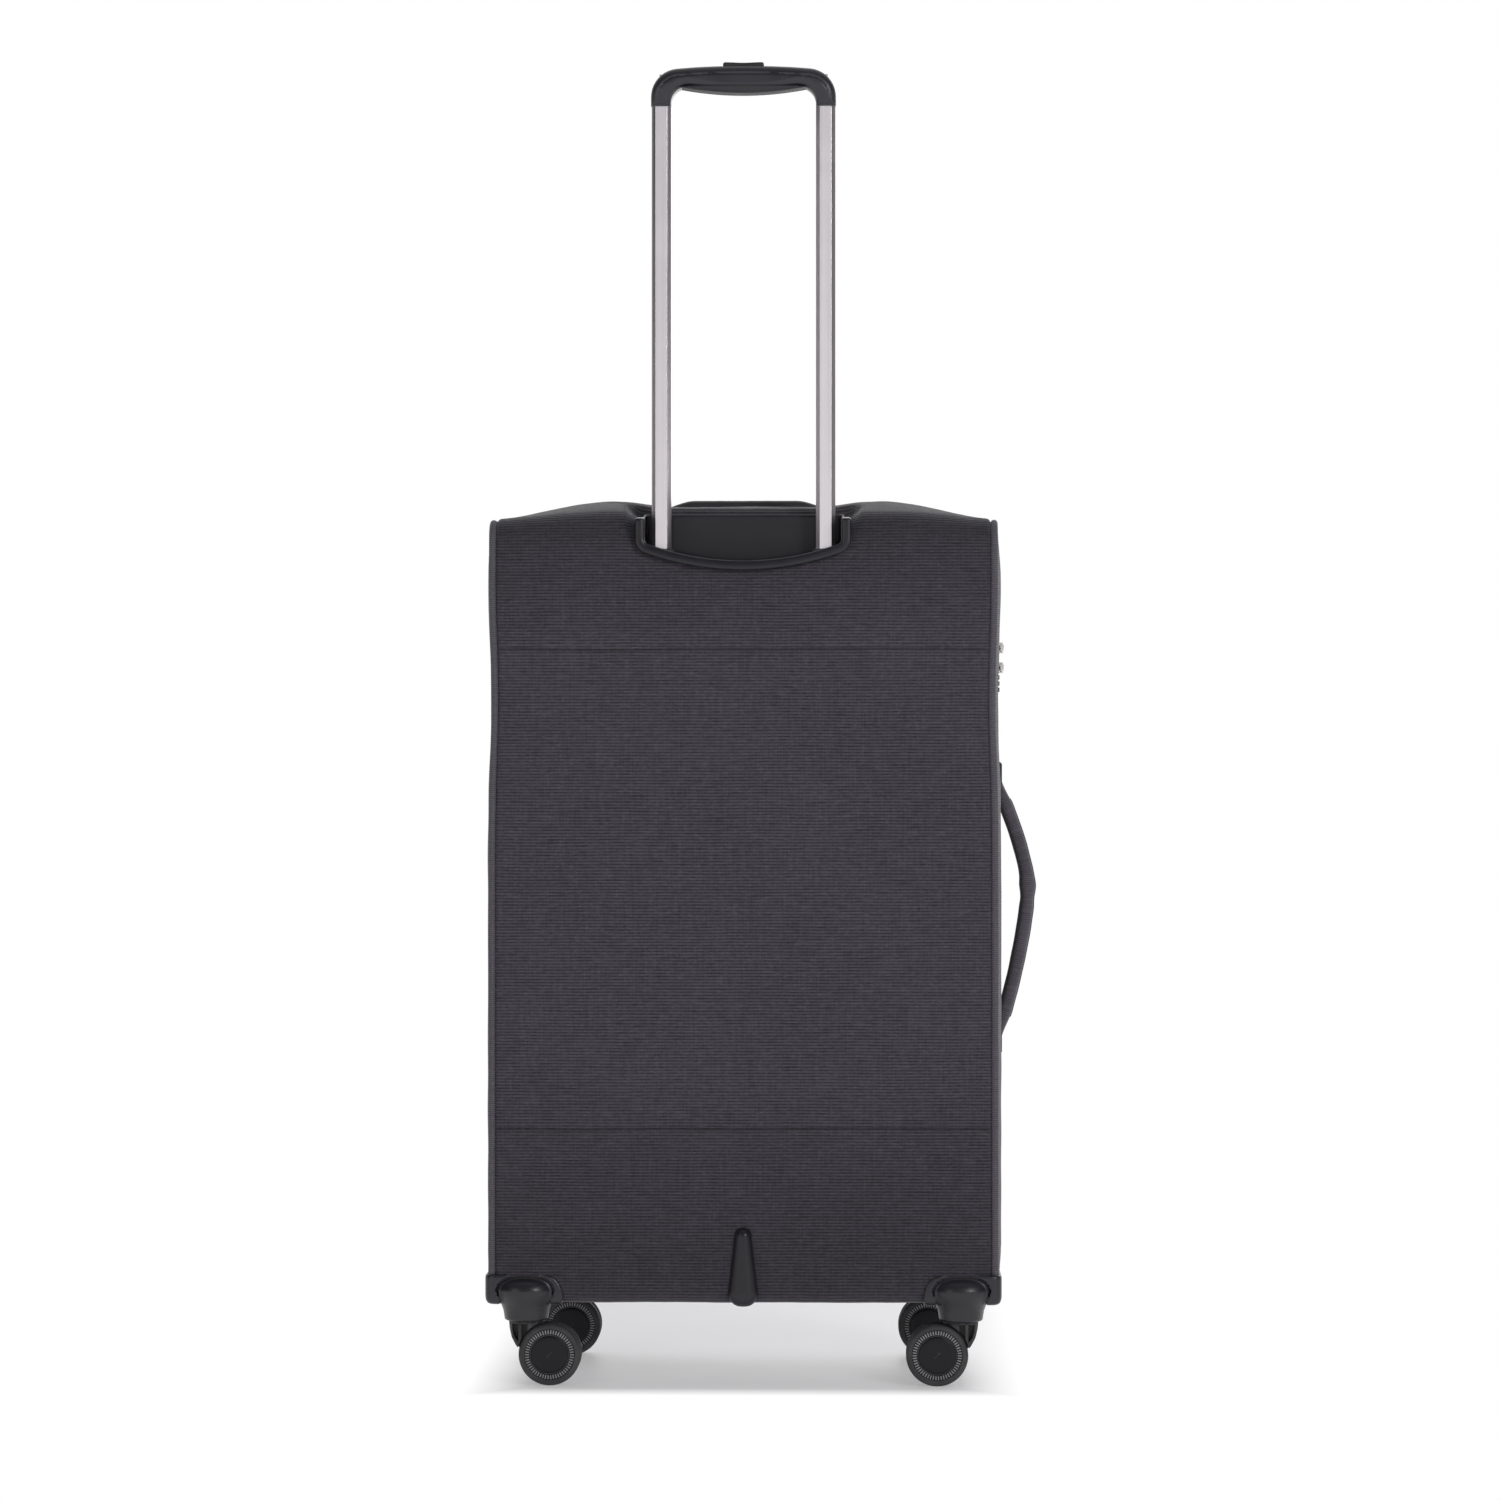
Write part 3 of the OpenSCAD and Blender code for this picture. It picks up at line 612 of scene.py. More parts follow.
HUB = moulded("hub_plastic", (0.21, 0.205, 0.215), rough=0.42, worn=(0.25, 0.24, 0.25))
GRIP = moulded("grip_plastic", (0.018, 0.0175, 0.0235), rough=0.34, grain=0.015, spec=0.5)
BOARD = moulded("board_plastic", (0.03, 0.03, 0.032), rough=0.6)
NYLON = moulded("zip_nylon", (0.018, 0.018, 0.019), rough=0.45)
RUBBER = soft_rubber()
TYRE = tyre_rubber()
TUBE = anodised()
STEEL = metal("plated_steel", (0.55, 0.55, 0.57))
CHROME = metal("zip_metal", (0.80, 0.78, 0.76), rough=0.22)
DIAL = moulded("dial_plastic", (0.04, 0.04, 0.042), rough=0.4)
FLOOR = floor_paper()


# ---- Soft case ----

CORNER = 10
PIPE_R = 2.7
PIPE_IN = CORNER * (1 - math.cos(math.radians(45)))
PIPE_X = HALF_W - PIPE_IN
TOP_R, LOW_R, KICK_R = 22, 11, 8
SEAMS = (568.5, 199.0)
HILL = 17.5
DISH_CUT = 3.5
FRONT_EDGE = CASE_END - REAR - PIPE_IN
HINGE_HALF_W = 210.75 + CENTRE * 1000
FOLD_SLOPE = 0.125
EDGE_ROWS = np.array([0, 0.6, 1.4, 2.4, 3.6, 5, 7, 10, 14])


def side_outline(inset):
    """Outline of the case seen from the side, in y and z: forward along the top, back, down and under."""
    start = [[CASE_END, TOP - inset]]
    rear_top = arc((REAR + TOP_R, TOP - TOP_R), TOP_R - inset, 90, 180, 14)
    rear_low = arc((REAR + LOW_R, BOTTOM + LOW_R), LOW_R - inset, 180, 270, 10)
    kick = arc((FRONT - KICK_R, BOTTOM + KICK_R), KICK_R - inset, 270, 360, 8)
    return np.concatenate([start, rear_top, rear_low, kick, [[FRONT - inset, KICK_TOP - 1]]])


def profile_at(s):
    """Point and outward direction on the side outline at the distances s from its front end."""
    line = resampled(side_outline(0), 1.0)
    along, d = lengths(line), directions(line)
    normal = np.stack([d[:, 1], -d[:, 0]], 1)
    at, out = (np.stack([np.interp(s, along, values[:, i]) for i in (0, 1)], -1) for values in (line, normal))
    return at, out / np.linalg.norm(out, axis=-1, keepdims=True)


def length_to(test):
    """Distance along the side outline to its first point where test(y, z) holds."""
    line = resampled(side_outline(0), 0.5)
    return lengths(line)[np.argmax(test(line[:, 0], line[:, 1]))]


def smooth(t):
    t = np.clip(t, 0, 1)
    return t * t * (3 - 2 * t)


def ripples(a, b, seed, size=40.0):
    """Shallow unevenness of cloth over foam, from -1 to 1, as a few crossed waves."""
    rng = np.random.default_rng(seed)
    total = np.zeros(np.broadcast(a, b).shape)
    for _ in range(7):
        angle, phase, stretch = rng.uniform(0, 2 * np.pi, 2).tolist() + [rng.uniform(0.6, 1.8)]
        total = total + np.sin((a * math.cos(angle) + b * math.sin(angle)) * 6.283 / (size * stretch) + phase)
    return total / 4


def hill(x):
    """Height of the stuffed top over its width: a rise beside each end of the top handle, lower between them."""
    u = np.abs(x)
    outer = np.clip(np.cos(np.pi / 2 * np.clip((u - 100) / 97, 0, 1)), 0, 1) ** 1.2
    return HILL * outer - 4.6 * smooth((94 - u) / 34)


def waist(z):
    """How far the sides draw in, mostly above the side handle."""
    return 2.4 * np.exp(-((z - 530) / 62) ** 2) + 0.5 * np.exp(-((z - 650) / 30) ** 2)


def shell_lift(x, s, y, z):
    """How far the rear, top and underside cloth stands out from the side outline, in millimetres."""
    edge = np.clip(np.abs(x) - (HALF_W - CORNER), 0, CORNER)
    lift = -(CORNER - np.sqrt(CORNER ** 2 - edge ** 2))
    lift = lift - 1.7 * np.exp(-((np.abs(x) - PIPE_X + 2.6) / 1.1) ** 2)
    inward = smooth((HALF_W - 6 - np.abs(x)) / 26)
    over_top = np.clip((y - REAR - 2) / (CASE_END - 10 - REAR), 0, 1)
    on_top = smooth((z - TOP + 14) / 12)
    lift = lift + on_top * hill(x) * np.sin(np.pi * over_top) ** 0.75
    on_back = smooth((REAR + 16 - y) / 14)
    for low, high in ((BOTTOM, SEAMS[1]), (SEAMS[1], SEAMS[0]), (SEAMS[0], TOP + 5)):
        t = np.clip((z - low) / (high - low), 0, 1)
        lift = lift + on_back * inward * 1.5 * np.sin(np.pi * t) ** 0.5 * (t > 0) * (t < 1)
    for seam in SEAMS:
        sag = 0.5 * np.sin(x / 61) + 0.3 * np.sin(x / 23 + seam)
        groove = np.exp(-((z - seam - sag) / 0.85) ** 2) - 0.16 * np.exp(-((z - seam - sag + 2.6) / 1.6) ** 2)
        lift = lift - on_back * 2.1 * groove * smooth((HALF_W - 4 - np.abs(x)) / 5)
    lift = lift + 0.35 * inward * ripples(x, s, 3, 70) + 0.12 * inward * ripples(x, s, 4, 18)
    pull = np.exp(-((np.abs(x) - 90) / 12) ** 2 - ((y - MID_Y) / 22) ** 2)
    lift = lift + 2.4 * smooth((BOTTOM + 8 - z) / 10) * inward
    return lift - on_top * 3.0 * pull


def dish_outline(inset, top):
    """Outline of the trolley dish seen from behind, as in the CAD model: low corners and a shallow arc."""
    half, base = box_mm("trolley_bezel")[1][0], box_mm("trolley_bezel")[1][2] - 42
    chord, sag, r = half - 7.7, 13.0, 12.0 - inset
    big = (chord ** 2 + sag ** 2) / (2 * sag)
    centre = (0, base + big)
    reach = half - inset - r
    corner_z = centre[1] - math.sqrt((big - inset - r) ** 2 - reach ** 2)
    turn = math.degrees(math.atan2(corner_z - centre[1], reach))
    return np.concatenate([
        [[half - inset, top]], arc((reach, corner_z), r, 0, turn), arc(centre, big - inset, turn, -180 - turn, 30),
        arc((-reach, corner_z), r, -180 - turn, -180), [[inset - half, top]]])


def spaced(stops, step):
    """Values through the stops, about step apart."""
    out = [np.linspace(a, b, max(1, int(round((b - a) / step))), endpoint=False)
           for a, b in zip(stops[:-1], stops[1:])]
    return np.concatenate(out + [[stops[-1]]])


def around_seam(centre):
    """Distances close to a seam, closer together near it."""
    half = np.array([0.45, 0.9, 1.4, 2, 2.8, 4, 6, 9])
    return centre + np.concatenate([-half[::-1], [0], half])


def gap_to(outline, a, b):
    """Distance of the flat points (a, b) from the nearest point of an outline."""
    flat = np.stack([a.ravel(), b.ravel()], 1)
    return np.array([np.sqrt(((outline - p) ** 2).sum(1).min()) for p in flat]).reshape(a.shape)


def rolled(gap):
    """How far cloth falls back where it rolls over into the piping, at a distance gap from it."""
    reach = CORNER - PIPE_IN
    return CORNER - np.sqrt(CORNER ** 2 - np.clip(reach - gap, 0, reach) ** 2)


def wrap_panel():
    """One cloth over the top, down the back and under the case, with the dish cut out of it."""
    seam_s = sorted(length_to(lambda y, z, seam=seam: (y < REAR + 5) & (z < seam)) for seam in SEAMS)
    end = length_to(lambda y, z: (y > FRONT - 0.01) & (z > KICK_TOP - 1.6))
    s = spaced([0, *[v for c in seam_s for v in (c - 9, c + 9)], end], 4.0)
    s = np.unique(np.concatenate([s, *[around_seam(c) for c in seam_s]]).round(3))
    x_half = spaced([0, HALF_W - CORNER, PIPE_X], 4.0)
    x_half = np.concatenate([x_half[x_half < HALF_W - CORNER], spaced([HALF_W - CORNER, PIPE_X], 0.7)])
    x = np.concatenate([-x_half[:0:-1], x_half])
    gx, gs = np.meshgrid(x, s, indexing="ij")
    flat = np.stack([gx.ravel(), gs.ravel()], 1)
    rear_s = length_to(lambda y, z: z < TOP - TOP_R)
    top_cut = length_to(lambda y, z: y < box_mm("trolley_bezel")[1][1] + 1.5)
    cut = dish_outline(DISH_CUT, TOP - TOP_R + 20)
    cut[:, 1] = rear_s + (TOP - TOP_R) - cut[:, 1]
    cut[[0, -1], 1] = top_cut
    inside = outline_field(flat, cut) < 0
    faces = grid_faces(len(x), len(s), flip=True)
    hit = inside[faces]
    gone = hit.sum(1) >= 2
    rim = np.unique(faces[~gone & hit.any(1)][hit[~gone & hit.any(1)]])
    edge_points = np.unique(np.intersect1d(faces[gone].ravel(), faces[~gone].ravel()))
    dense = resampled(cut, 0.4, closed=True)
    for i in np.union1d(rim, edge_points):
        flat[i] = dense[np.argmin(((dense - flat[i]) ** 2).sum(1))]
    at, out = profile_at(flat[:, 1])
    lift = shell_lift(flat[:, 0], flat[:, 1], at[:, 0], at[:, 1])
    under_rim = smooth((outline_field(flat, cut) - 1) / 12)
    lift = np.where(lift > 0, lift * under_rim, lift)
    yz = at + out * lift[:, None]
    narrowed = flat[:, 0] - np.sign(flat[:, 0]) * waist(at[:, 1]) * smooth(np.abs(flat[:, 0]) / HALF_W)
    points = np.stack([narrowed, yz[:, 0], yz[:, 1]], 1)
    used = np.unique(faces[~gone])
    number = np.zeros(len(points), int)
    number[used] = np.arange(len(used))
    made = piece("wrap_panel", points[used], number[faces[~gone]], FABRIC, "case", "fabric",
                 uv=np.stack([flat[used, 0], -flat[used, 1]], 1), sharp=0,
                 replaces=("rear_panel", "top_panel", "bottom_panel"))
    thicken(made, 2.6)


def beside_hinge(y):
    """Half width that the cloth keeps near the hinge line, so that the open lid folds back without a clash."""
    return HINGE_HALF_W - 0.25 + FOLD_SLOPE * np.abs(y - ZIP_Y)


def side_gusset(side):
    """Side cloth of the case, full in the middle and rolled in to the piping at its edges."""
    name = "left" if side < 0 else "right"
    low, high = BOTTOM + PIPE_IN, TOP - PIPE_IN
    z = np.concatenate([low + EDGE_ROWS, spaced([low + 20, high - 20], 6), high - EDGE_ROWS[::-1]])
    t = np.concatenate([EDGE_ROWS, spaced([20, FRONT_EDGE - 6], 6), [FRONT_EDGE]])
    front = np.where(z < LID_BOTTOM + 1, FRONT - PIPE_IN, CASE_END)
    r_top, r_low = TOP_R - PIPE_IN, LOW_R - PIPE_IN
    rear = np.full(len(z), REAR + PIPE_IN)
    over = np.clip(z - (high - r_top), 0, r_top)
    under = np.clip((low + r_low) - z, 0, r_low)
    rear = rear + r_top - np.sqrt(r_top ** 2 - over ** 2) + r_low - np.sqrt(r_low ** 2 - under ** 2)
    share = t / FRONT_EDGE
    y = rear[:, None] + (front - rear)[:, None] * share[None, :]
    zz = np.broadcast_to(z[:, None], y.shape)
    gap = gap_to(resampled(side_outline(PIPE_IN), 1.5), y, zz)
    full = smooth(gap / 45) * smooth((CASE_END - y) / 60)
    x = HALF_W - rolled(gap) - waist(zz) * smooth((CASE_END - 12 - y) / 50) + 2.9 * full
    x = x + 0.3 * smooth(gap / 20) * ripples(y, zz, 11 + side, 55)
    if side < 0:
        x = np.where(zz > LID_BOTTOM, np.minimum(x, beside_hinge(y)), x)
    points = np.stack([side * x, y, zz], -1).reshape(-1, 3)
    faces = grid_faces(len(z), len(t), flip=side > 0)
    made = piece(f"{name}_gusset", points, faces, FABRIC, "case", "fabric",
                 uv=np.stack([y.ravel(), zz.ravel()], 1), sharp=0, replaces=(f"{name}_panel",))
    thicken(made, 2.6)


def case_piping():
    for side, name in ((-1, "left"), (1, "right")):
        yz = resampled(side_outline(PIPE_IN), 2.5)
        path = np.stack([side * (PIPE_X - waist(yz[:, 1])), yz[:, 0], yz[:, 1]], 1)
        wobble = 1 + 0.03 * ripples(path[:, 1], path[:, 2], 21, 30)
        swept(f"{name}_piping", path, circle(PIPE_R, 14), (1, 0, 0), PIPING, "case", "fabric",
              scale=np.stack([wobble, wobble], 1))


wrap_panel()
for side in SIDES:
    side_gusset(side)
case_piping()


# ---- Hard parts ----

def trolley_bezel():
    """Rim, basin and back wall of the dish, with a hole for each tube."""
    low, high = box_mm("trolley_bezel")
    back = high[1]
    outer, wall, inner = (dish_outline(inset, high[2] + 40) for inset in (0, 5.2, 7.2))

    def field(p):
        flat, y = p[:, [0, 2]], p[:, 1]
        f_outer, f_wall, f_inner = (outline_field(flat, o) for o in (outer, wall, inner))
        face = low[1] + 0.004 * (p[:, 0] / 9) ** 2
        rim = slab_field(np.maximum(f_outer, -f_inner), y - face - 7, 7, 2.0)
        rim = smooth_max(rim, 0.55 * (-(y - face) + 0.35 * (-f_outer) - 2.2), 1.2)
        basin = np.maximum(np.maximum(f_wall, -f_inner), np.maximum(y - back, low[1] + 8 - y))
        plate = np.maximum(f_wall, np.abs(y - back + 1) - 1)
        f = smooth_min(rim, smooth_min(basin, plate, 3), 1.5)
        for side in SIDES:
            q = p - [side * TUBE_X, TUBE_Y, 0]
            collar = box_field(q, np.array([-10.5, -9, 634.0]), np.array([10.5, 9, 646.0]), 2.5)
            f = smooth_min(f, collar, 2)
            hole = box_field(q, np.array([-7.9, -6.4, 600.0]), np.array([7.9, 6.4, 660.0]), 3)
            f = np.maximum(f, -hole)
        return smooth_max(f, p[:, 2] - (high[2] + 2.5 + 0.11 * (y - back)), 1.5)

    shape = solid(field, low, high + [0, 0, 3], 1.15)
    piece("dish_moulding", *shape, BEZEL, "case", "black_plastic", replaces=("trolley_bezel",), sharp=50)


HOOD = [(50, 16.8), (54, 17.2), (58, 17.9), (62, 19.4), (66, 21.6), (70, 23.6), (74, 24.8), (79, 25.2), (84, 25)]


def corner_cover(front):
    """Corner covers of the two rear or the two front corners, each with a domed housing over its caster."""
    low, high = box_mm(f"corner_housing_{'fr' if front else 'rr'}")
    fork = box_mm(f"fork_{'fr' if front else 'rr'}")
    caster_x = fork[1][0] - (fork[1][1] - fork[0][1]) / 2
    if front:
        low[1], high[1] = -high[1], -low[1]
    edge_y = (-FRONT if front else REAR) - 3
    cy = edge_y + 19
    bottom, top, floor_z = low[2], high[2], BOTTOM - 4
    face_x = rounded((low[0], floor_z), (high[0], top), (3, 16, 3, 8))
    face_y = rounded((edge_y, floor_z), (high[1], top), (16, 3, 8, 3))
    plan = rounded((low[0] - 9, edge_y), (high[0], high[1] + 9), (3, 3, 3, 9))
    widths = np.array(HOOD)

    def field(p):
        shell = smooth_max(outline_field(p[:, [0, 2]], face_x), outline_field(p[:, [1, 2]], face_y), 3)
        shell = smooth_max(shell, outline_field(p[:, :2], plan), 3)
        room = box_field(p, np.array([0, edge_y + 3, BOTTOM]), np.array([high[0] - 3, 50, 200.0]), 6)
        shell = np.maximum(shell, -room)
        q = p - [caster_x, cy, 0]
        w = np.interp(p[:, 2], widths[:, 0], widths[:, 1])
        ring = ((np.abs(q[:, 0] / w) ** 2.3 + np.abs(q[:, 1] / (w + 3)) ** 2.3) ** (1 / 2.3) - 1) * w
        hood = smooth_max(ring, p[:, 2] - 84.6, 17)
        hood = np.maximum(smooth_max(hood, bottom - p[:, 2], 2), -room)
        groove = np.maximum(np.abs(hood - 1.4) - 0.6, -1.0 - shell)
        return np.maximum(smooth_min(shell, hood, 0.8), -groove)

    shape = solid(field, [low[0], edge_y - 7, bottom], [high[0], high[1], top], 1.05)
    for side in "lr":
        node = f"corner_housing_{'f' if front else 'r'}{side}"
        piece(node.replace("housing", "cover"), *mirrored(shape, side == "l", front), COVER, "case",
              "black_plastic", replaces=(node,), sharp=50)


def wheel(node, body, axle):
    """Tyre, hub ring with raised ticks, and plain cap of one wheel."""
    low, high = box_mm(node)
    centre = (low + high) / 2
    face = 1 if centre[1] > sum(c[1] for c in box_mm(axle)) / 2 else -1
    half, r = (high[1] - low[1]) / 2, (high[2] - low[2]) / 2
    side = [(r - 11, -half), (r - 3, -half), (r - 1.6, -half + 0.5), (r - 0.5, -half + 1.6), (r, -half + 3)]
    tread = side + [(r, half - 3), (r - 0.4, half - 1.8), (r - 1.4, half - 0.7), (r - 2.8, half - 0.1),
                    (r - 4, half), (r - 4.5, half - 0.3), (r - 4.7, half - 1.0), (r - 11, half - 1.2)]
    ring = [(r - 4.5, half - 2), (r - 4.6, half - 0.7), (r - 5, half - 0.55), (r - 8.4, half - 0.55),
            (r - 8.8, half - 0.8), (r - 9.0, half - 2.2), (r - 12, half - 2.4)]
    cap = [(r - 9.6, half - 2.6), (r - 9.6, half - 0.8), (r - 9.9, half - 0.35), (r - 10.4, half - 0.15),
           (r - 12, half), (r - 15, half), (r - 19, half), (r - 22, half), (0.02, half)]

    def turned(profile):
        points, faces = lathe([(a, face * b) for a, b in profile], centre, 72)
        return points, faces if face < 0 else [f[::-1] for f in faces]

    ticks = []
    for a in np.linspace(0, 2 * np.pi, 54, endpoint=False):
        cut = block([r - 8.2, -0.48, half - 0.7], [r - 5.0, 0.48, half - 0.05], 0.18)
        u = np.array([np.cos(a), 0, np.sin(a)])
        v = np.array([-np.sin(a), 0, np.cos(a)])
        points = centre + cut[0][:, :1] * u + cut[0][:, 1:2] * v + cut[0][:, 2:] * [0, face, 0]
        ticks.append((points, cut[1] if face < 0 else [list(f)[::-1] for f in cut[1]]))
    name = node.replace("_wheel", "")
    piece(f"tyre_{name}", *turned(tread), TYRE, body, "wheel", replaces=(node,))
    piece(f"hub_{name}", *turned(ring), CAP, body, "wheel")
    piece(f"hub_ticks_{name}", *join(ticks), HUB, body, "wheel")
    piece(f"cap_{name}", *turned(cap), CAP, body, "wheel")


def pull_grip():
    """Grip with rounded corners, a parting line along it and a soft insert under the beam."""
    low, high = box_mm("grip")
    top, half, arm_end = high[2], high[0], ARM_END
    inner = TUBE_X - 7.5
    outer = np.concatenate([arc((half - 22, top - 24), 22, 0, 84, 10),
                            [(x, top - 1.6 * (x / 46) ** 2) for x in np.linspace(40, -40, 17)],
                            arc((22 - half, top - 24), 22, 96, 180, 10), [(-half, arm_end), (half, arm_end)]])
    lens = [(x, top - 21 + 5.4 * (x / 44) ** 2) for x in np.linspace(-42, 42, 19)]
    room = np.concatenate([[(inner, arm_end - 30)], arc((inner - 13, top - 29), 13, 0, 80, 8), lens[::-1],
                           arc((13 - inner, top - 29), 13, 100, 180, 8), [(-inner, arm_end - 30)]])
    well = box_mm("push_button")
    gap = 0.3

    def field(p):
        flat, y = p[:, [0, 2]], p[:, 1] - TUBE_Y
        edge = outline_field(flat, outer)
        body = smooth_max(edge, -outline_field(flat, room), 0.6)
        half_d = 12.8 - 2.2 * smooth((arm_end + 18 - p[:, 2]) / 18)
        f = slab_field(body, y * 12.8 / half_d, 12.8, 6.8)
        line = np.maximum(np.abs(edge + 6.2) - 0.35, -0.7 - f)
        f = np.maximum(f, -np.maximum(line, arm_end + 10 - p[:, 2]))
        socket = box_field(p, well[0] - [gap, gap, -1], well[1] + [gap, gap, 10], 1.2)
        notch = box_field(p, well[0] + [-gap, -20, 5.2], well[1] + [gap, -3, 10], 0.8)
        return np.maximum(np.maximum(f, -np.minimum(socket, notch)), arm_end - p[:, 2])

    piece("grip_shell", *solid(field, low + [0, 0, 10], high, 0.9), GRIP, "pull_handle", "black_plastic",
          replaces=("grip",), sharp=45)

    top_arc = [(x, top - 12.4 - 4.2 * (x / 50) ** 2) for x in np.linspace(50, -50, 21)]
    low_arc = [(x, top - 21.4 + 4.9 * (x / 50) ** 2) for x in np.linspace(-50, 50, 21)]
    insert = np.array(top_arc + low_arc)

    rods = box_mm("push_rods")

    def soft(p):
        f = slab_field(outline_field(p[:, [0, 2]], insert), p[:, 1] - TUBE_Y, 13.0, 4.2)
        link = box_field(p, [-60, rods[0][1] - 0.6, rods[1][2] - 10], [60, rods[1][1] + 0.6, rods[1][2] + 2], 0.3)
        return np.maximum(f, -link)

    piece("grip_insert", *solid(soft, [-52, low[1], top - 23], [52, high[1], top - 11], 0.9), RUBBER,
          "pull_handle", "handle_rubber", sharp=45)

    def key(p):
        f = box_field(p, well[0], well[1], 1.6)
        dip = 0.5 * np.exp(-((p[:, 0]) / 9) ** 2) * (p[:, 2] > well[1][2] - 3)
        return f + dip

    piece("button_key", *solid(key, well[0], well[1], 0.7), RUBBER, "button", "black_plastic",
          replaces=("push_button",), sharp=45)


def skid_guard():
    low, high = box_mm("skid_guard")
    foot, head = low[2] + 11.8, high[2] - 6.8

    def field(p):
        z = np.clip(p[:, 2], foot, head)
        r = 11.8 - 5.0 * (z - foot) / (head - foot)
        deep = (REAR + 1.5 - p[:, 1]) * r / (REAR + 1.5 - low[1])
        round_end = np.hypot(np.abs(p[:, 0]) ** 1.25 / r ** 0.25, p[:, 2] - z)
        return np.hypot(round_end, deep) - r

    shape = solid(field, low - [3, 0, 1], [high[0] + 3, REAR + 6, high[2] + 1], 0.9)
    piece("skid_moulding", *shape, BEZEL, "case", "black_plastic", replaces=("skid_guard",))


trolley_bezel()
corner_cover(front=False)
corner_cover(front=True)
for corner in WHEELS:
    for place in ("outer", "inner"):
        wheel(f"{place}_wheel_{corner}", f"{place}_wheel_body_{corner}", f"axle_{corner}")
pull_grip()
skid_guard()


# ---- Lid ----

LID_R = 10
POCKET_R = 18
POCKETS = {"upper_pocket": 617.0, "lower_pocket": 387.0}


def lid_outline(inset):
    low = (-HALF_W + inset, LID_BOTTOM + inset)
    high = (HALF_W - inset, TOP - inset)
    return rounded(low, high, max(LID_R - inset, 1.0), 8)


def panel_rows(low, high, half, r, edge, step):
    """Grid of x and z over a rectangle with rounded corners: rows of even height, closer together at its edges."""
    z = np.concatenate([low + edge, spaced([low + edge[-1] + step, high - edge[-1] - step], step), (high - edge)[::-1]])
    over = np.clip(np.abs(z - (low + high) / 2) - ((high - low) / 2 - r), 0, r)
    reach = half - r + np.sqrt(r ** 2 - over ** 2)
    x = np.concatenate([-half + edge, spaced([-half + edge[-1] + step, half - edge[-1] - step], step),
                        (half - edge)[::-1]]) / half
    return x[None, :] * reach[:, None], np.broadcast_to(z[:, None], (len(z), len(x)))


def lid_front():
    """Crowned front of the lid."""
    x, z = panel_rows(LID_BOTTOM + PIPE_IN, TOP - PIPE_IN, PIPE_X, LID_R - PIPE_IN, EDGE_ROWS, 7)
    gap = gap_to(resampled(lid_outline(PIPE_IN), 2, closed=True), x, z)
    y = FRONT - rolled(gap) + 1.5 * smooth(gap / 60)
    y = y + 0.4 * smooth(gap / 20) * ripples(x, z, 31, 80)
    points = np.stack([x, y, z], -1).reshape(-1, 3)
    made = piece("lid_front", points, grid_faces(*x.shape), FABRIC, "lid", "fabric",
                 uv=np.stack([x.ravel(), z.ravel()], 1), sharp=0, replaces=("lid_panel",))
    thicken(made, 2.6)


def lid_band():
    """Strip round the lid between its front piping and the zip."""
    section = [(0.4, ZIP_Y + 0.5), (0.0, ZIP_Y + 3), (-0.5, 94), (-0.6, 101), (-0.2, 107), (0.4, 110.5),
               (1.4, FRONT - 4.2), (PIPE_IN, FRONT - PIPE_IN)]
    section = resampled(section, 2.5)
    ring = resampled(lid_outline(0), 5, closed=True)
    d = directions(ring, closed=True)
    out = np.stack([d[:, 1], -d[:, 0]], 1)
    flat = ring[:, None] - out[:, None] * section[None, :, :1]
    y = np.broadcast_to(section[None, :, 1], flat.shape[:2]) + 0.0
    points = np.stack([np.maximum(flat[..., 0], -beside_hinge(y)), y, flat[..., 1]], -1)
    along = np.arange(len(ring)) * 5.0
    uv = np.stack(np.broadcast_arrays(section[None, :, 1], along[:, None]), -1)
    faces = grid_faces(len(ring), len(section), wrap_u=True, flip=True)
    made = piece("lid_band", points.reshape(-1, 3), faces, FABRIC, "lid", "fabric", uv=uv.reshape(-1, 2), sharp=0,
                 replaces=("lid_gusset",))
    thicken(made, 2.2)
    path = resampled(lid_outline(PIPE_IN), 3, closed=True)
    path = np.stack([path[:, 0], np.full(len(path), FRONT - PIPE_IN), path[:, 1]], 1)
    swept("lid_piping", path, circle(PIPE_R, 14), (0, 1, 0), PIPING, "lid", "fabric", closed=True)


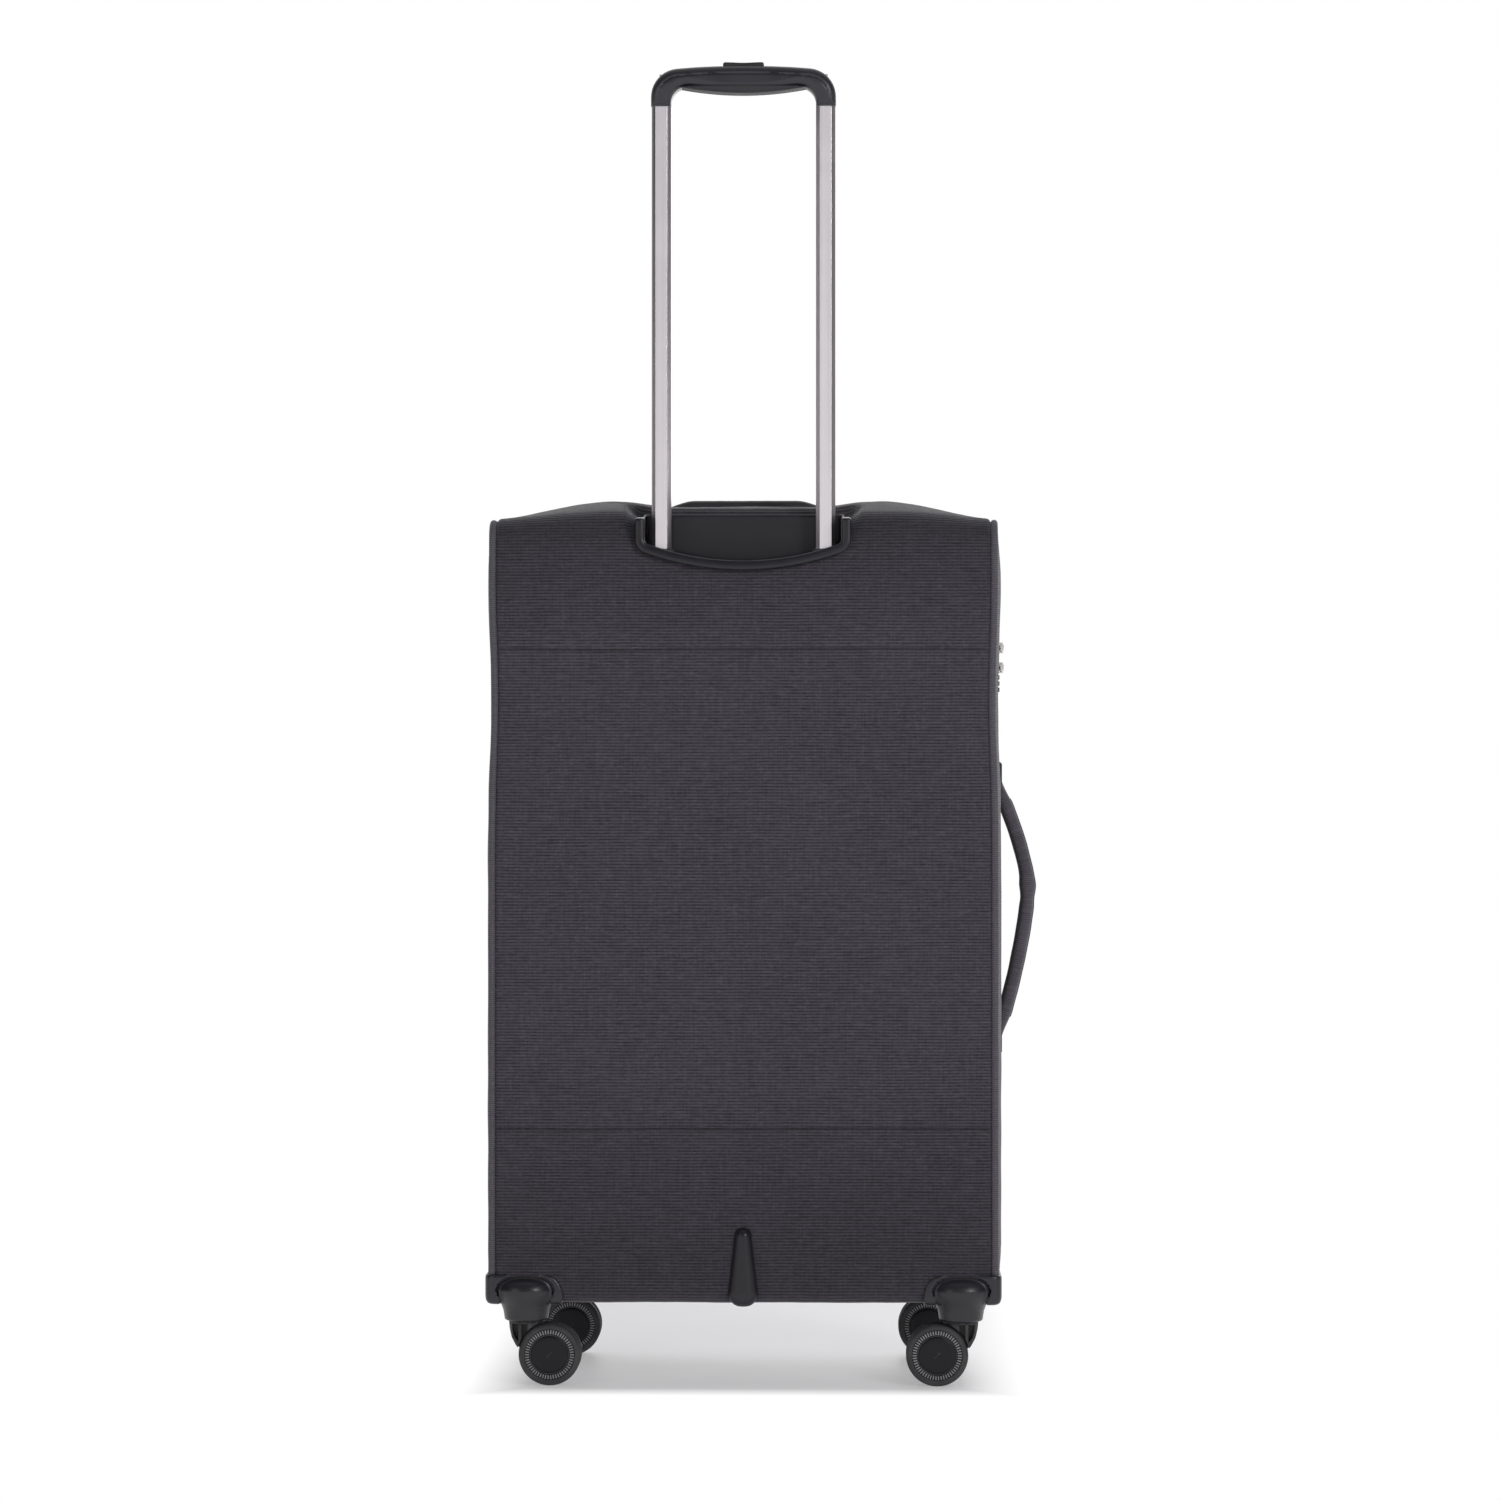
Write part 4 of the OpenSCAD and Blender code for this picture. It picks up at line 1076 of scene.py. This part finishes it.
def pocket(node, zip_z):
    """Stuffed patch pocket with a channel for its zip, sewn to the lid with a flat hem."""
    low, high = box_mm(node)
    edge = np.array([0, 0.5, 1.2, 2.2, 3.5, 5, 7, 9.5, 13])
    x, z = panel_rows(low[2], high[2], high[0], POCKET_R, edge, 5)
    rows = np.sort(np.concatenate([z[:, 0][np.abs(z[:, 0] - zip_z) > 9], around_seam(zip_z)]))
    share = x[len(x) // 2] / high[0]
    over = np.clip(np.abs(rows - (low[2] + high[2]) / 2) - ((high[2] - low[2]) / 2 - POCKET_R), 0, POCKET_R)
    x = share[None, :] * (high[0] - POCKET_R + np.sqrt(POCKET_R ** 2 - over ** 2))[:, None]
    z = np.broadcast_to(rows[:, None], x.shape)
    gap = gap_to(resampled(rounded(low[[0, 2]], high[[0, 2]], POCKET_R), 2, closed=True), x, z)
    depth = high[1] - low[1]
    rise = (depth - 3.5) * np.sqrt(1 - (1 - np.clip((gap - 1.5) / 7.5, 0, 1)) ** 2)
    belly = smooth((gap - 8) / 55) * smooth((zip_z - 6 - z) / 50)
    y = low[1] + 1.2 + rise + 4.0 * belly - 1.3 * np.exp(-((gap - 9.5) / 1.2) ** 2)
    y = y + smooth((gap - 9) / 25) * (0.7 * ripples(x, z, 41, 65) + 0.3 * ripples(x, z, 42, 24))
    on_zip = smooth((high[0] - 20 - np.abs(x)) / 6)
    y = y - on_zip * 2.6 * smooth((5.4 - np.abs(z - zip_z)) / 1.6)
    points = np.stack([x, y, z], -1).reshape(-1, 3)
    made = piece(f"{node}_front", points, grid_faces(*x.shape), FABRIC, "lid", "fabric",
                 uv=np.stack([x.ravel(), z.ravel()], 1), sharp=0, replaces=(node,))
    thicken(made, 1.6)
    y_zip = low[1] + 1.2 + depth - 3.5 - 1.6
    reach = high[0] - 22
    path = [(-reach, y_zip, zip_z), (reach, y_zip, zip_z)]
    zip_run(f"{node}_zip", resampled(path, 4), (0, 1, 0), ("lid", "lid"), rise=0.9)


# ---- Zips ----

PITCH = 2.2
TOOTH_FACES = [[0, 1, 3, 2], [4, 6, 7, 5], [0, 4, 5, 1], [2, 3, 7, 6], [0, 2, 6, 4], [1, 5, 7, 3]]


def zip_run(name, path, out, bodies, rise=1.15, replaces=((), ())):
    """Two halves of a zip along a path: a woven tape each, with its row of teeth on the edge."""
    tangent = directions(path)
    out = np.broadcast_to(np.asarray(out, float), path.shape)
    side = np.cross(out, tangent)
    fine = resampled(path, PITCH)
    for i, s in enumerate((1, -1)):
        strip = path[:, None] + side[:, None] * (s * np.array([0.4, 2.0, 4.2, 6.6])[None, :, None])
        strip = strip + out[:, None] * np.array([0.3, 0.6, 0.95, 1.05])[None, :, None]
        uv = np.stack(np.broadcast_arrays(np.arange(4)[None, :] * 2.1, (np.arange(len(path)) * 4.0)[:, None]), -1)
        label = f"{name}_{'ab'[i]}"
        tape = piece(f"{label}_tape", strip.reshape(-1, 3), grid_faces(len(path), 4, flip=s < 0), TAPE, bodies[i],
                     "zip", uv=uv.reshape(-1, 2), sharp=0, replaces=replaces[i])
        thicken(tape, 0.5)
        teeth = []
        for k in range(len(fine)):
            at = min(int(k * len(path) / len(fine)), len(path) - 1)
            t, n, w = tangent[at], out[at], side[at] * s
            centre = fine[k] + t * (PITCH / 2 if i else 0) + w * 0.6 + n * rise
            size = np.array([0.62, 1.5, 0.75])
            corner = np.array([[a, b, c] for a in SIDES for b in SIDES for c in SIDES]) * size
            corner[:, 0] *= np.where(corner[:, 2] > 0, 0.7, 1)
            teeth.append((centre + corner[:, :1] * t + corner[:, 1:2] * w + corner[:, 2:] * n,
                          TOOTH_FACES if s > 0 else [f[::-1] for f in TOOTH_FACES]))
        piece(f"{label}_teeth", *join(teeth), NYLON, bodies[i], "zip", sharp=30)


def main_zip():
    """Zip over the top, down the side with the lock and along the gap under the lid."""
    y = ZIP_Y
    flat = np.concatenate([[(-HALF_W + 12, TOP + 0.3)], arc((HALF_W - 10, TOP - 10), 10.3, 90, 0, 6),
                           [(HALF_W + 0.3, LID_BOTTOM + 8)]])
    flat = resampled(flat, 4.0)
    d = directions(flat)
    path = np.stack([flat[:, 0], np.full(len(flat), y), flat[:, 1]], 1)
    out = np.stack([-d[:, 1], np.zeros(len(d)), d[:, 0]], 1)
    zip_run("upper_zip", path, out, ("case", "lid"), replaces=(("case_zip",), ("lid_zip",)))
    z = (KICK_TOP + LID_BOTTOM) / 2
    plan = np.concatenate([[(HALF_W + 0.2, y)], [(HALF_W + 0.2, FRONT - 10)],
                           arc((HALF_W - 10, FRONT - 10), 10.2, 0, 90, 6), [(-HALF_W + 12, FRONT + 0.2)]])
    plan = resampled(plan, 4.0)
    d = directions(plan)
    path = np.stack([plan[:, 0], plan[:, 1], np.full(len(plan), z)], 1)
    out = np.stack([d[:, 1], -d[:, 0], np.zeros(len(d))], 1)
    zip_run("lower_zip", path - out * 0.8, out, ("lid", "case"))


def hinge_strip():
    """Cloth that joins the lid to the case along its left edge."""
    z = spaced([LID_BOTTOM + 6, TOP - 12], 9)
    y = np.linspace(ZIP_Y - 16, ZIP_Y + 16, 25)
    yy, zz = np.meshgrid(y, z)
    bulge = 0.9 * np.sin(np.pi * (yy - y[0]) / (y[-1] - y[0])) + 0.15 * ripples(yy, zz, 51, 20)
    points = np.stack([-HALF_W - 0.3 - bulge, yy, zz], -1).reshape(-1, 3)
    made = piece("hinge_cloth", points, grid_faces(*yy.shape, flip=True), PIPING, None, None,
                 uv=np.stack([yy.ravel(), zz.ravel()], 1), sharp=0, stage_only=True)
    mesh_final(made, 1.2)
    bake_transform(made)


def mesh_final(made, thickness):
    """Thickens a sheet in its own mesh."""
    mesh = made.data
    bm = bmesh.new()
    bm.from_mesh(mesh)
    bmesh.ops.solidify(bm, geom=bm.faces[:], thickness=thickness * 0.001)
    bm.to_mesh(mesh)
    bm.free()


# ---- Carry handles ----

def strap_section():
    """Section of a padded strap, 1 wide and 1 thick: a flattened round."""
    a = np.linspace(0, 2 * np.pi, 28, endpoint=False)
    return np.stack([np.sign(np.sin(a)) * np.abs(np.sin(a)) ** 0.75 / 2,
                     np.sign(np.cos(a)) * np.abs(np.cos(a)) ** 0.45 / 2], 1)


def top_handle():
    """Rubber-covered grip over the top, its ends running down into the anchors."""
    half = 95
    x = np.linspace(-half, half, 96)
    u = np.abs(x)
    mid_y = sum(box_mm("top_carry_handle")[i][1] for i in (0, 1)) / 2
    z = TOP + 13.2 - 5.2 * smooth((u - 40) / 24) - 8.2 * smooth((u - 58) / 34)
    thick = 9.5 - 5.8 * smooth((u - 52) / 30) + 0.15 * ripples(x, x * 0, 61, 14)
    width = 31.5 - 4 * smooth((u - 60) / 20)
    path = np.stack([x, np.full(len(x), mid_y), z], 1)
    made = swept("top_grip", path, strap_section(), (0, 1, 0), RUBBER, "case", "handle_rubber",
                 replaces=("top_carry_handle",), scale=np.stack([thick, width], 1))


def side_handle():
    """Cloth-covered padded strap, kinked above its middle, with a webbing underside."""
    key = np.array([(0.4, 474), (1.2, 462), (7.5, 444), (15.0, 424), (21.0, 402), (23.6, 390), (23.4, 372), (19.5, 345),
                    (13.0, 313), (6.0, 286), (1.4, 269), (0.4, 258)], float)
    t = lengths(key)
    fine = np.linspace(0, t[-1], 110)
    blur = [np.convolve(np.pad(np.interp(fine, t, key[:, i]), 5, mode="edge"), np.ones(11) / 11, "valid")
            for i in (0, 1)]
    share = fine / t[-1]
    path = np.stack([HALF_W + 1.2 + blur[0], np.full(110, MID_Y), blur[1]], 1)
    ends = smooth(np.minimum(share, 1 - share) / 0.14)
    fold = np.exp(-((share - 0.42) / 0.025) ** 2)
    thick = 2.8 + 8.2 * ends + 1.7 * fold - 0.8 * np.exp(-((share - 0.47) / 0.02) ** 2)
    thick = thick + 0.25 * ripples(fine, fine * 0, 71, 22)
    width = 30 - 1.2 * fold + 0.4 * ripples(fine, fine * 0, 72, 40)
    made = swept("side_grip", path, strap_section(), (0, 1, 0), PIPING, "case", "fabric",
                 replaces=("side_carry_handle",), scale=np.stack([thick, width], 1))
    tangent = directions(path)
    inner = path + np.cross(tangent, (0, 1, 0)) * (thick / 2 - 0.1)[:, None]
    swept("side_grip_tape", inner[12:-12], rounded((-0.5, -9), (0.5, 9), 0.4, 3), (0, 1, 0), STRAP, "case", "fabric",
          across=True)
    for end, z in (("high", 470), ("low", 263)):
        tab = block([HALF_W - 1, MID_Y - 16.5, z - 11], [HALF_W + 4.4, MID_Y + 16.5, z + 11], 1.4)
        piece(f"side_tab_{end}", *tab, COVER, "case", "black_plastic", sharp=20)


# ---- Inside ----

def lining(name, low, high, axis, body, seed, sag=1.6, look=LINING):
    """Sheet of lining sewn in between two corners, flat along axis, a little slack inside its edges."""
    a, b = [i for i in range(3) if i != axis]
    u, v = spaced([low[a], high[a]], 8), spaced([low[b], high[b]], 8)
    uu, vv = np.meshgrid(u, v, indexing="ij")
    edge = np.minimum(np.minimum(uu - u[0], u[-1] - uu), np.minimum(vv - v[0], v[-1] - vv))
    lift = smooth(edge / 26) * (sag * ripples(uu, vv, seed, 90) + 0.5 * ripples(uu, vv, seed + 1, 34))
    points = np.zeros((*uu.shape, 3))
    points[..., a], points[..., b] = uu, vv
    points[..., axis] = (low[axis] + high[axis]) / 2 + lift
    made = piece(name, points.reshape(-1, 3), grid_faces(*uu.shape), look, body, "fabric",
                 uv=np.stack([uu.ravel(), vv.ravel()], 1), sharp=0)
    modifier(made, "SOLIDIFY", thickness=0.0004, offset=0)


def inside():
    """Linings, the net on the lid and the crossed packing straps with their buckle."""
    x, back, end, base, roof = HALF_W - 7.5, -85.5, CASE_END - 2, BOTTOM + 7.5, TOP - 13
    lining("back_lining", (-x, back, base), (x, back, roof), 1, "case", 81, sag=0.9)
    lining("left_lining", (-x, back, base), (-x, end, roof), 0, "case", 82)
    lining("right_lining", (x, back, base), (x, end, roof), 0, "case", 83)
    lining("top_lining", (-x, back, roof), (x, end, roof), 2, "case", 84)
    lining("base_lining", (-x, back, base), (x, end, base), 2, "case", 85)
    lining("lid_lining", (-x + 4, 112.0, LID_BOTTOM + 8), (x - 4, 112.0, TOP - 8), 1, "lid", 86, sag=1.0)
    low, high = (-x + 30, 106.0, LID_BOTTOM + 30), (x - 30, 106.0, LID_BOTTOM + 330)
    lining("lid_net", low, high, 1, "lid", 87, sag=1.5, look=NET)
    bind = [(low[0], 106, high[2]), low, (high[0], 106, low[2]), high]
    swept("net_binding", resampled(bind, 5, closed=True), rounded((-5, -0.8), (5, 0.8), 0.6, 3), (0, 1, 0), TAPE,
          "lid", "zip", closed=True)
    for side, hand in zip(SIDES, "lr"):
        for level, z in (("lower", (90, 250, 300)), ("upper", (640, 390, 330))):
            path = resampled([(side * 120, -82, z[0]), (side * 30, -76, z[1]), (side * 10, -75, z[2])], 4)
            swept(f"{level}_strap_{hand}", path, rounded((-12, -0.8), (12, 0.8), 0.7, 3), (0, 1, 0), STRAP, "case",
                  "fabric")

    def buckle(p):
        f = slab_field(outline_field(p[:, [0, 2]], rounded((-17, 292), (17, 338), 7)), p[:, 1] + 73, 4.2, 2.5)
        for side in SIDES:
            slit = box_field(p, np.array([side * 11 - 2.2, -90, 303.0]), np.array([side * 11 + 2.2, -60, 326.0]), 2)
            f = smooth_max(f, -slit, 0.8)
        return f

    piece("strap_buckle", *solid(buckle, [-18, -78, 291], [18, -68, 339], 1.1), BEZEL, "case", "black_plastic")


# ---- CAD parts that show as they are ----

def dress(look, *nodes, bevel=0.35):
    """Gives CAD nodes their material and small rounded edges."""
    for node in nodes:
        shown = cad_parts[node]
        shown.data.materials.clear()
        shown.data.materials.append(look)
        modifier(shown, "WELD", merge_threshold=0.00001)
        modifier(shown, "BEVEL", width=bevel * 0.001, segments=2, limit_method="ANGLE", angle_limit=math.radians(38),
                 harden_normals=True, use_clamp_overlap=True)


lid_front()
lid_band()
for node, zip_z in POCKETS.items():
    pocket(node, zip_z)
main_zip()
hinge_strip()
top_handle()
side_handle()
inside()
dress(TUBE, "inner_tube_left", "inner_tube_right", bevel=0.3)
dress(STEEL, "outer_tubes", "push_rods", "lock_pin_left", "lock_pin_right", "swivel_pins", "housing_screws",
      *[f"axle_{c}" for c in WHEELS], bevel=0.25)
dress(NYLON, "wire_frame", bevel=0.3)
dress(BOARD, "back_board", "trolley_foot", "handle_anchors")
dress(FORK, *[f"fork_{c}" for c in WHEELS], bevel=0.6)
dress(BEZEL, "lock_body", "lock_release", bevel=0.6)
dress(DIAL, "lock_dial_1", "lock_dial_2", "lock_dial_3", bevel=0.2)
dress(CHROME, "upper_zip_slider", "lower_zip_slider", "upper_zip_pull", "lower_zip_pull", "upper_pocket_slider",
      "lower_pocket_slider", bevel=0.5)


# ---- Light, floor and camera ----

EYE = 4.1
VIEW_W = 1.155
EYE_X, LOOK_X, EYE_Z = 0.086, -0.0084, 0.4905


def studio():
    """White surroundings: dimmer above the horizon behind the camera, with dark flags far out on both sides."""
    world = bpy.data.worlds.new("studio")
    world.use_nodes = True
    sky = Nodes(world.node_tree)
    x, y, z = sky.split(sky.node("TexCoord").outputs["Generated"])
    flags = sky.ramp(sky.math("ABSOLUTE", x), 0.62, 0.88, 1.0, 0.12)
    behind = sky.mul(sky.ramp(z, 0.03, 0.13, 1.02, 0.2), flags)
    strength = sky.node("Mix", {0: sky.ramp(y, 0.2, 0.6), 2: behind, 3: 1.0}).outputs[0]
    back = world.node_tree.nodes["Background"]
    sky.put(back.inputs["Color"], (1, 1, 1, 1))
    sky.put(back.inputs["Strength"], strength)
    bpy.context.scene.world = world
    bpy.context.scene.view_settings.view_transform = "Standard"


def soft_light(name, at, aim_z, size, power):
    """Round area light aimed at the middle of the case, at a height of aim_z."""
    data = bpy.data.lights.new(name, "AREA")
    data.shape, data.size, data.energy = "DISK", size, power
    lamp = bpy.data.objects.new(name, data)
    lamp.location = at
    lamp.rotation_euler = (Vector((0, 0, aim_z)) - Vector(at)).to_track_quat("-Z", "Y").to_euler()
    bpy.context.scene.collection.objects.link(lamp)


def floor():
    reach = 12000
    points = [[a * reach, b * reach, 0] for a, b in ((-1, -1), (1, -1), (1, 1), (-1, 1))]
    piece("floor", points, [[0, 1, 2, 3]], FLOOR, None, None, stage_only=True)


def camera():
    data = bpy.data.cameras.new("camera")
    eye = bpy.data.objects.new("camera", data)
    rear = REAR * 0.001
    data.sensor_width = 36
    data.lens = data.sensor_width * EYE / VIEW_W
    data.clip_end = 100
    eye.location = (EYE_X, rear - EYE, EYE_Z)
    aim = Vector((LOOK_X, rear, EYE_Z)) - eye.location
    eye.rotation_euler = aim.to_track_quat("-Z", "Y").to_euler()
    bpy.context.scene.collection.objects.link(eye)
    bpy.context.scene.camera = eye


studio()
floor()
soft_light("key", (1.7, -2.6, 1.5), 0.45, 1.0, 34)
soft_light("fill", (-2.0, -2.8, 1.2), 0.45, 1.6, 9)
soft_light("top", (0.0, 0.2, 2.6), 0.3, 2.2, 5)
soft_light("front", (0.6, 2.6, 1.3), 0.45, 1.8, 12)
camera()
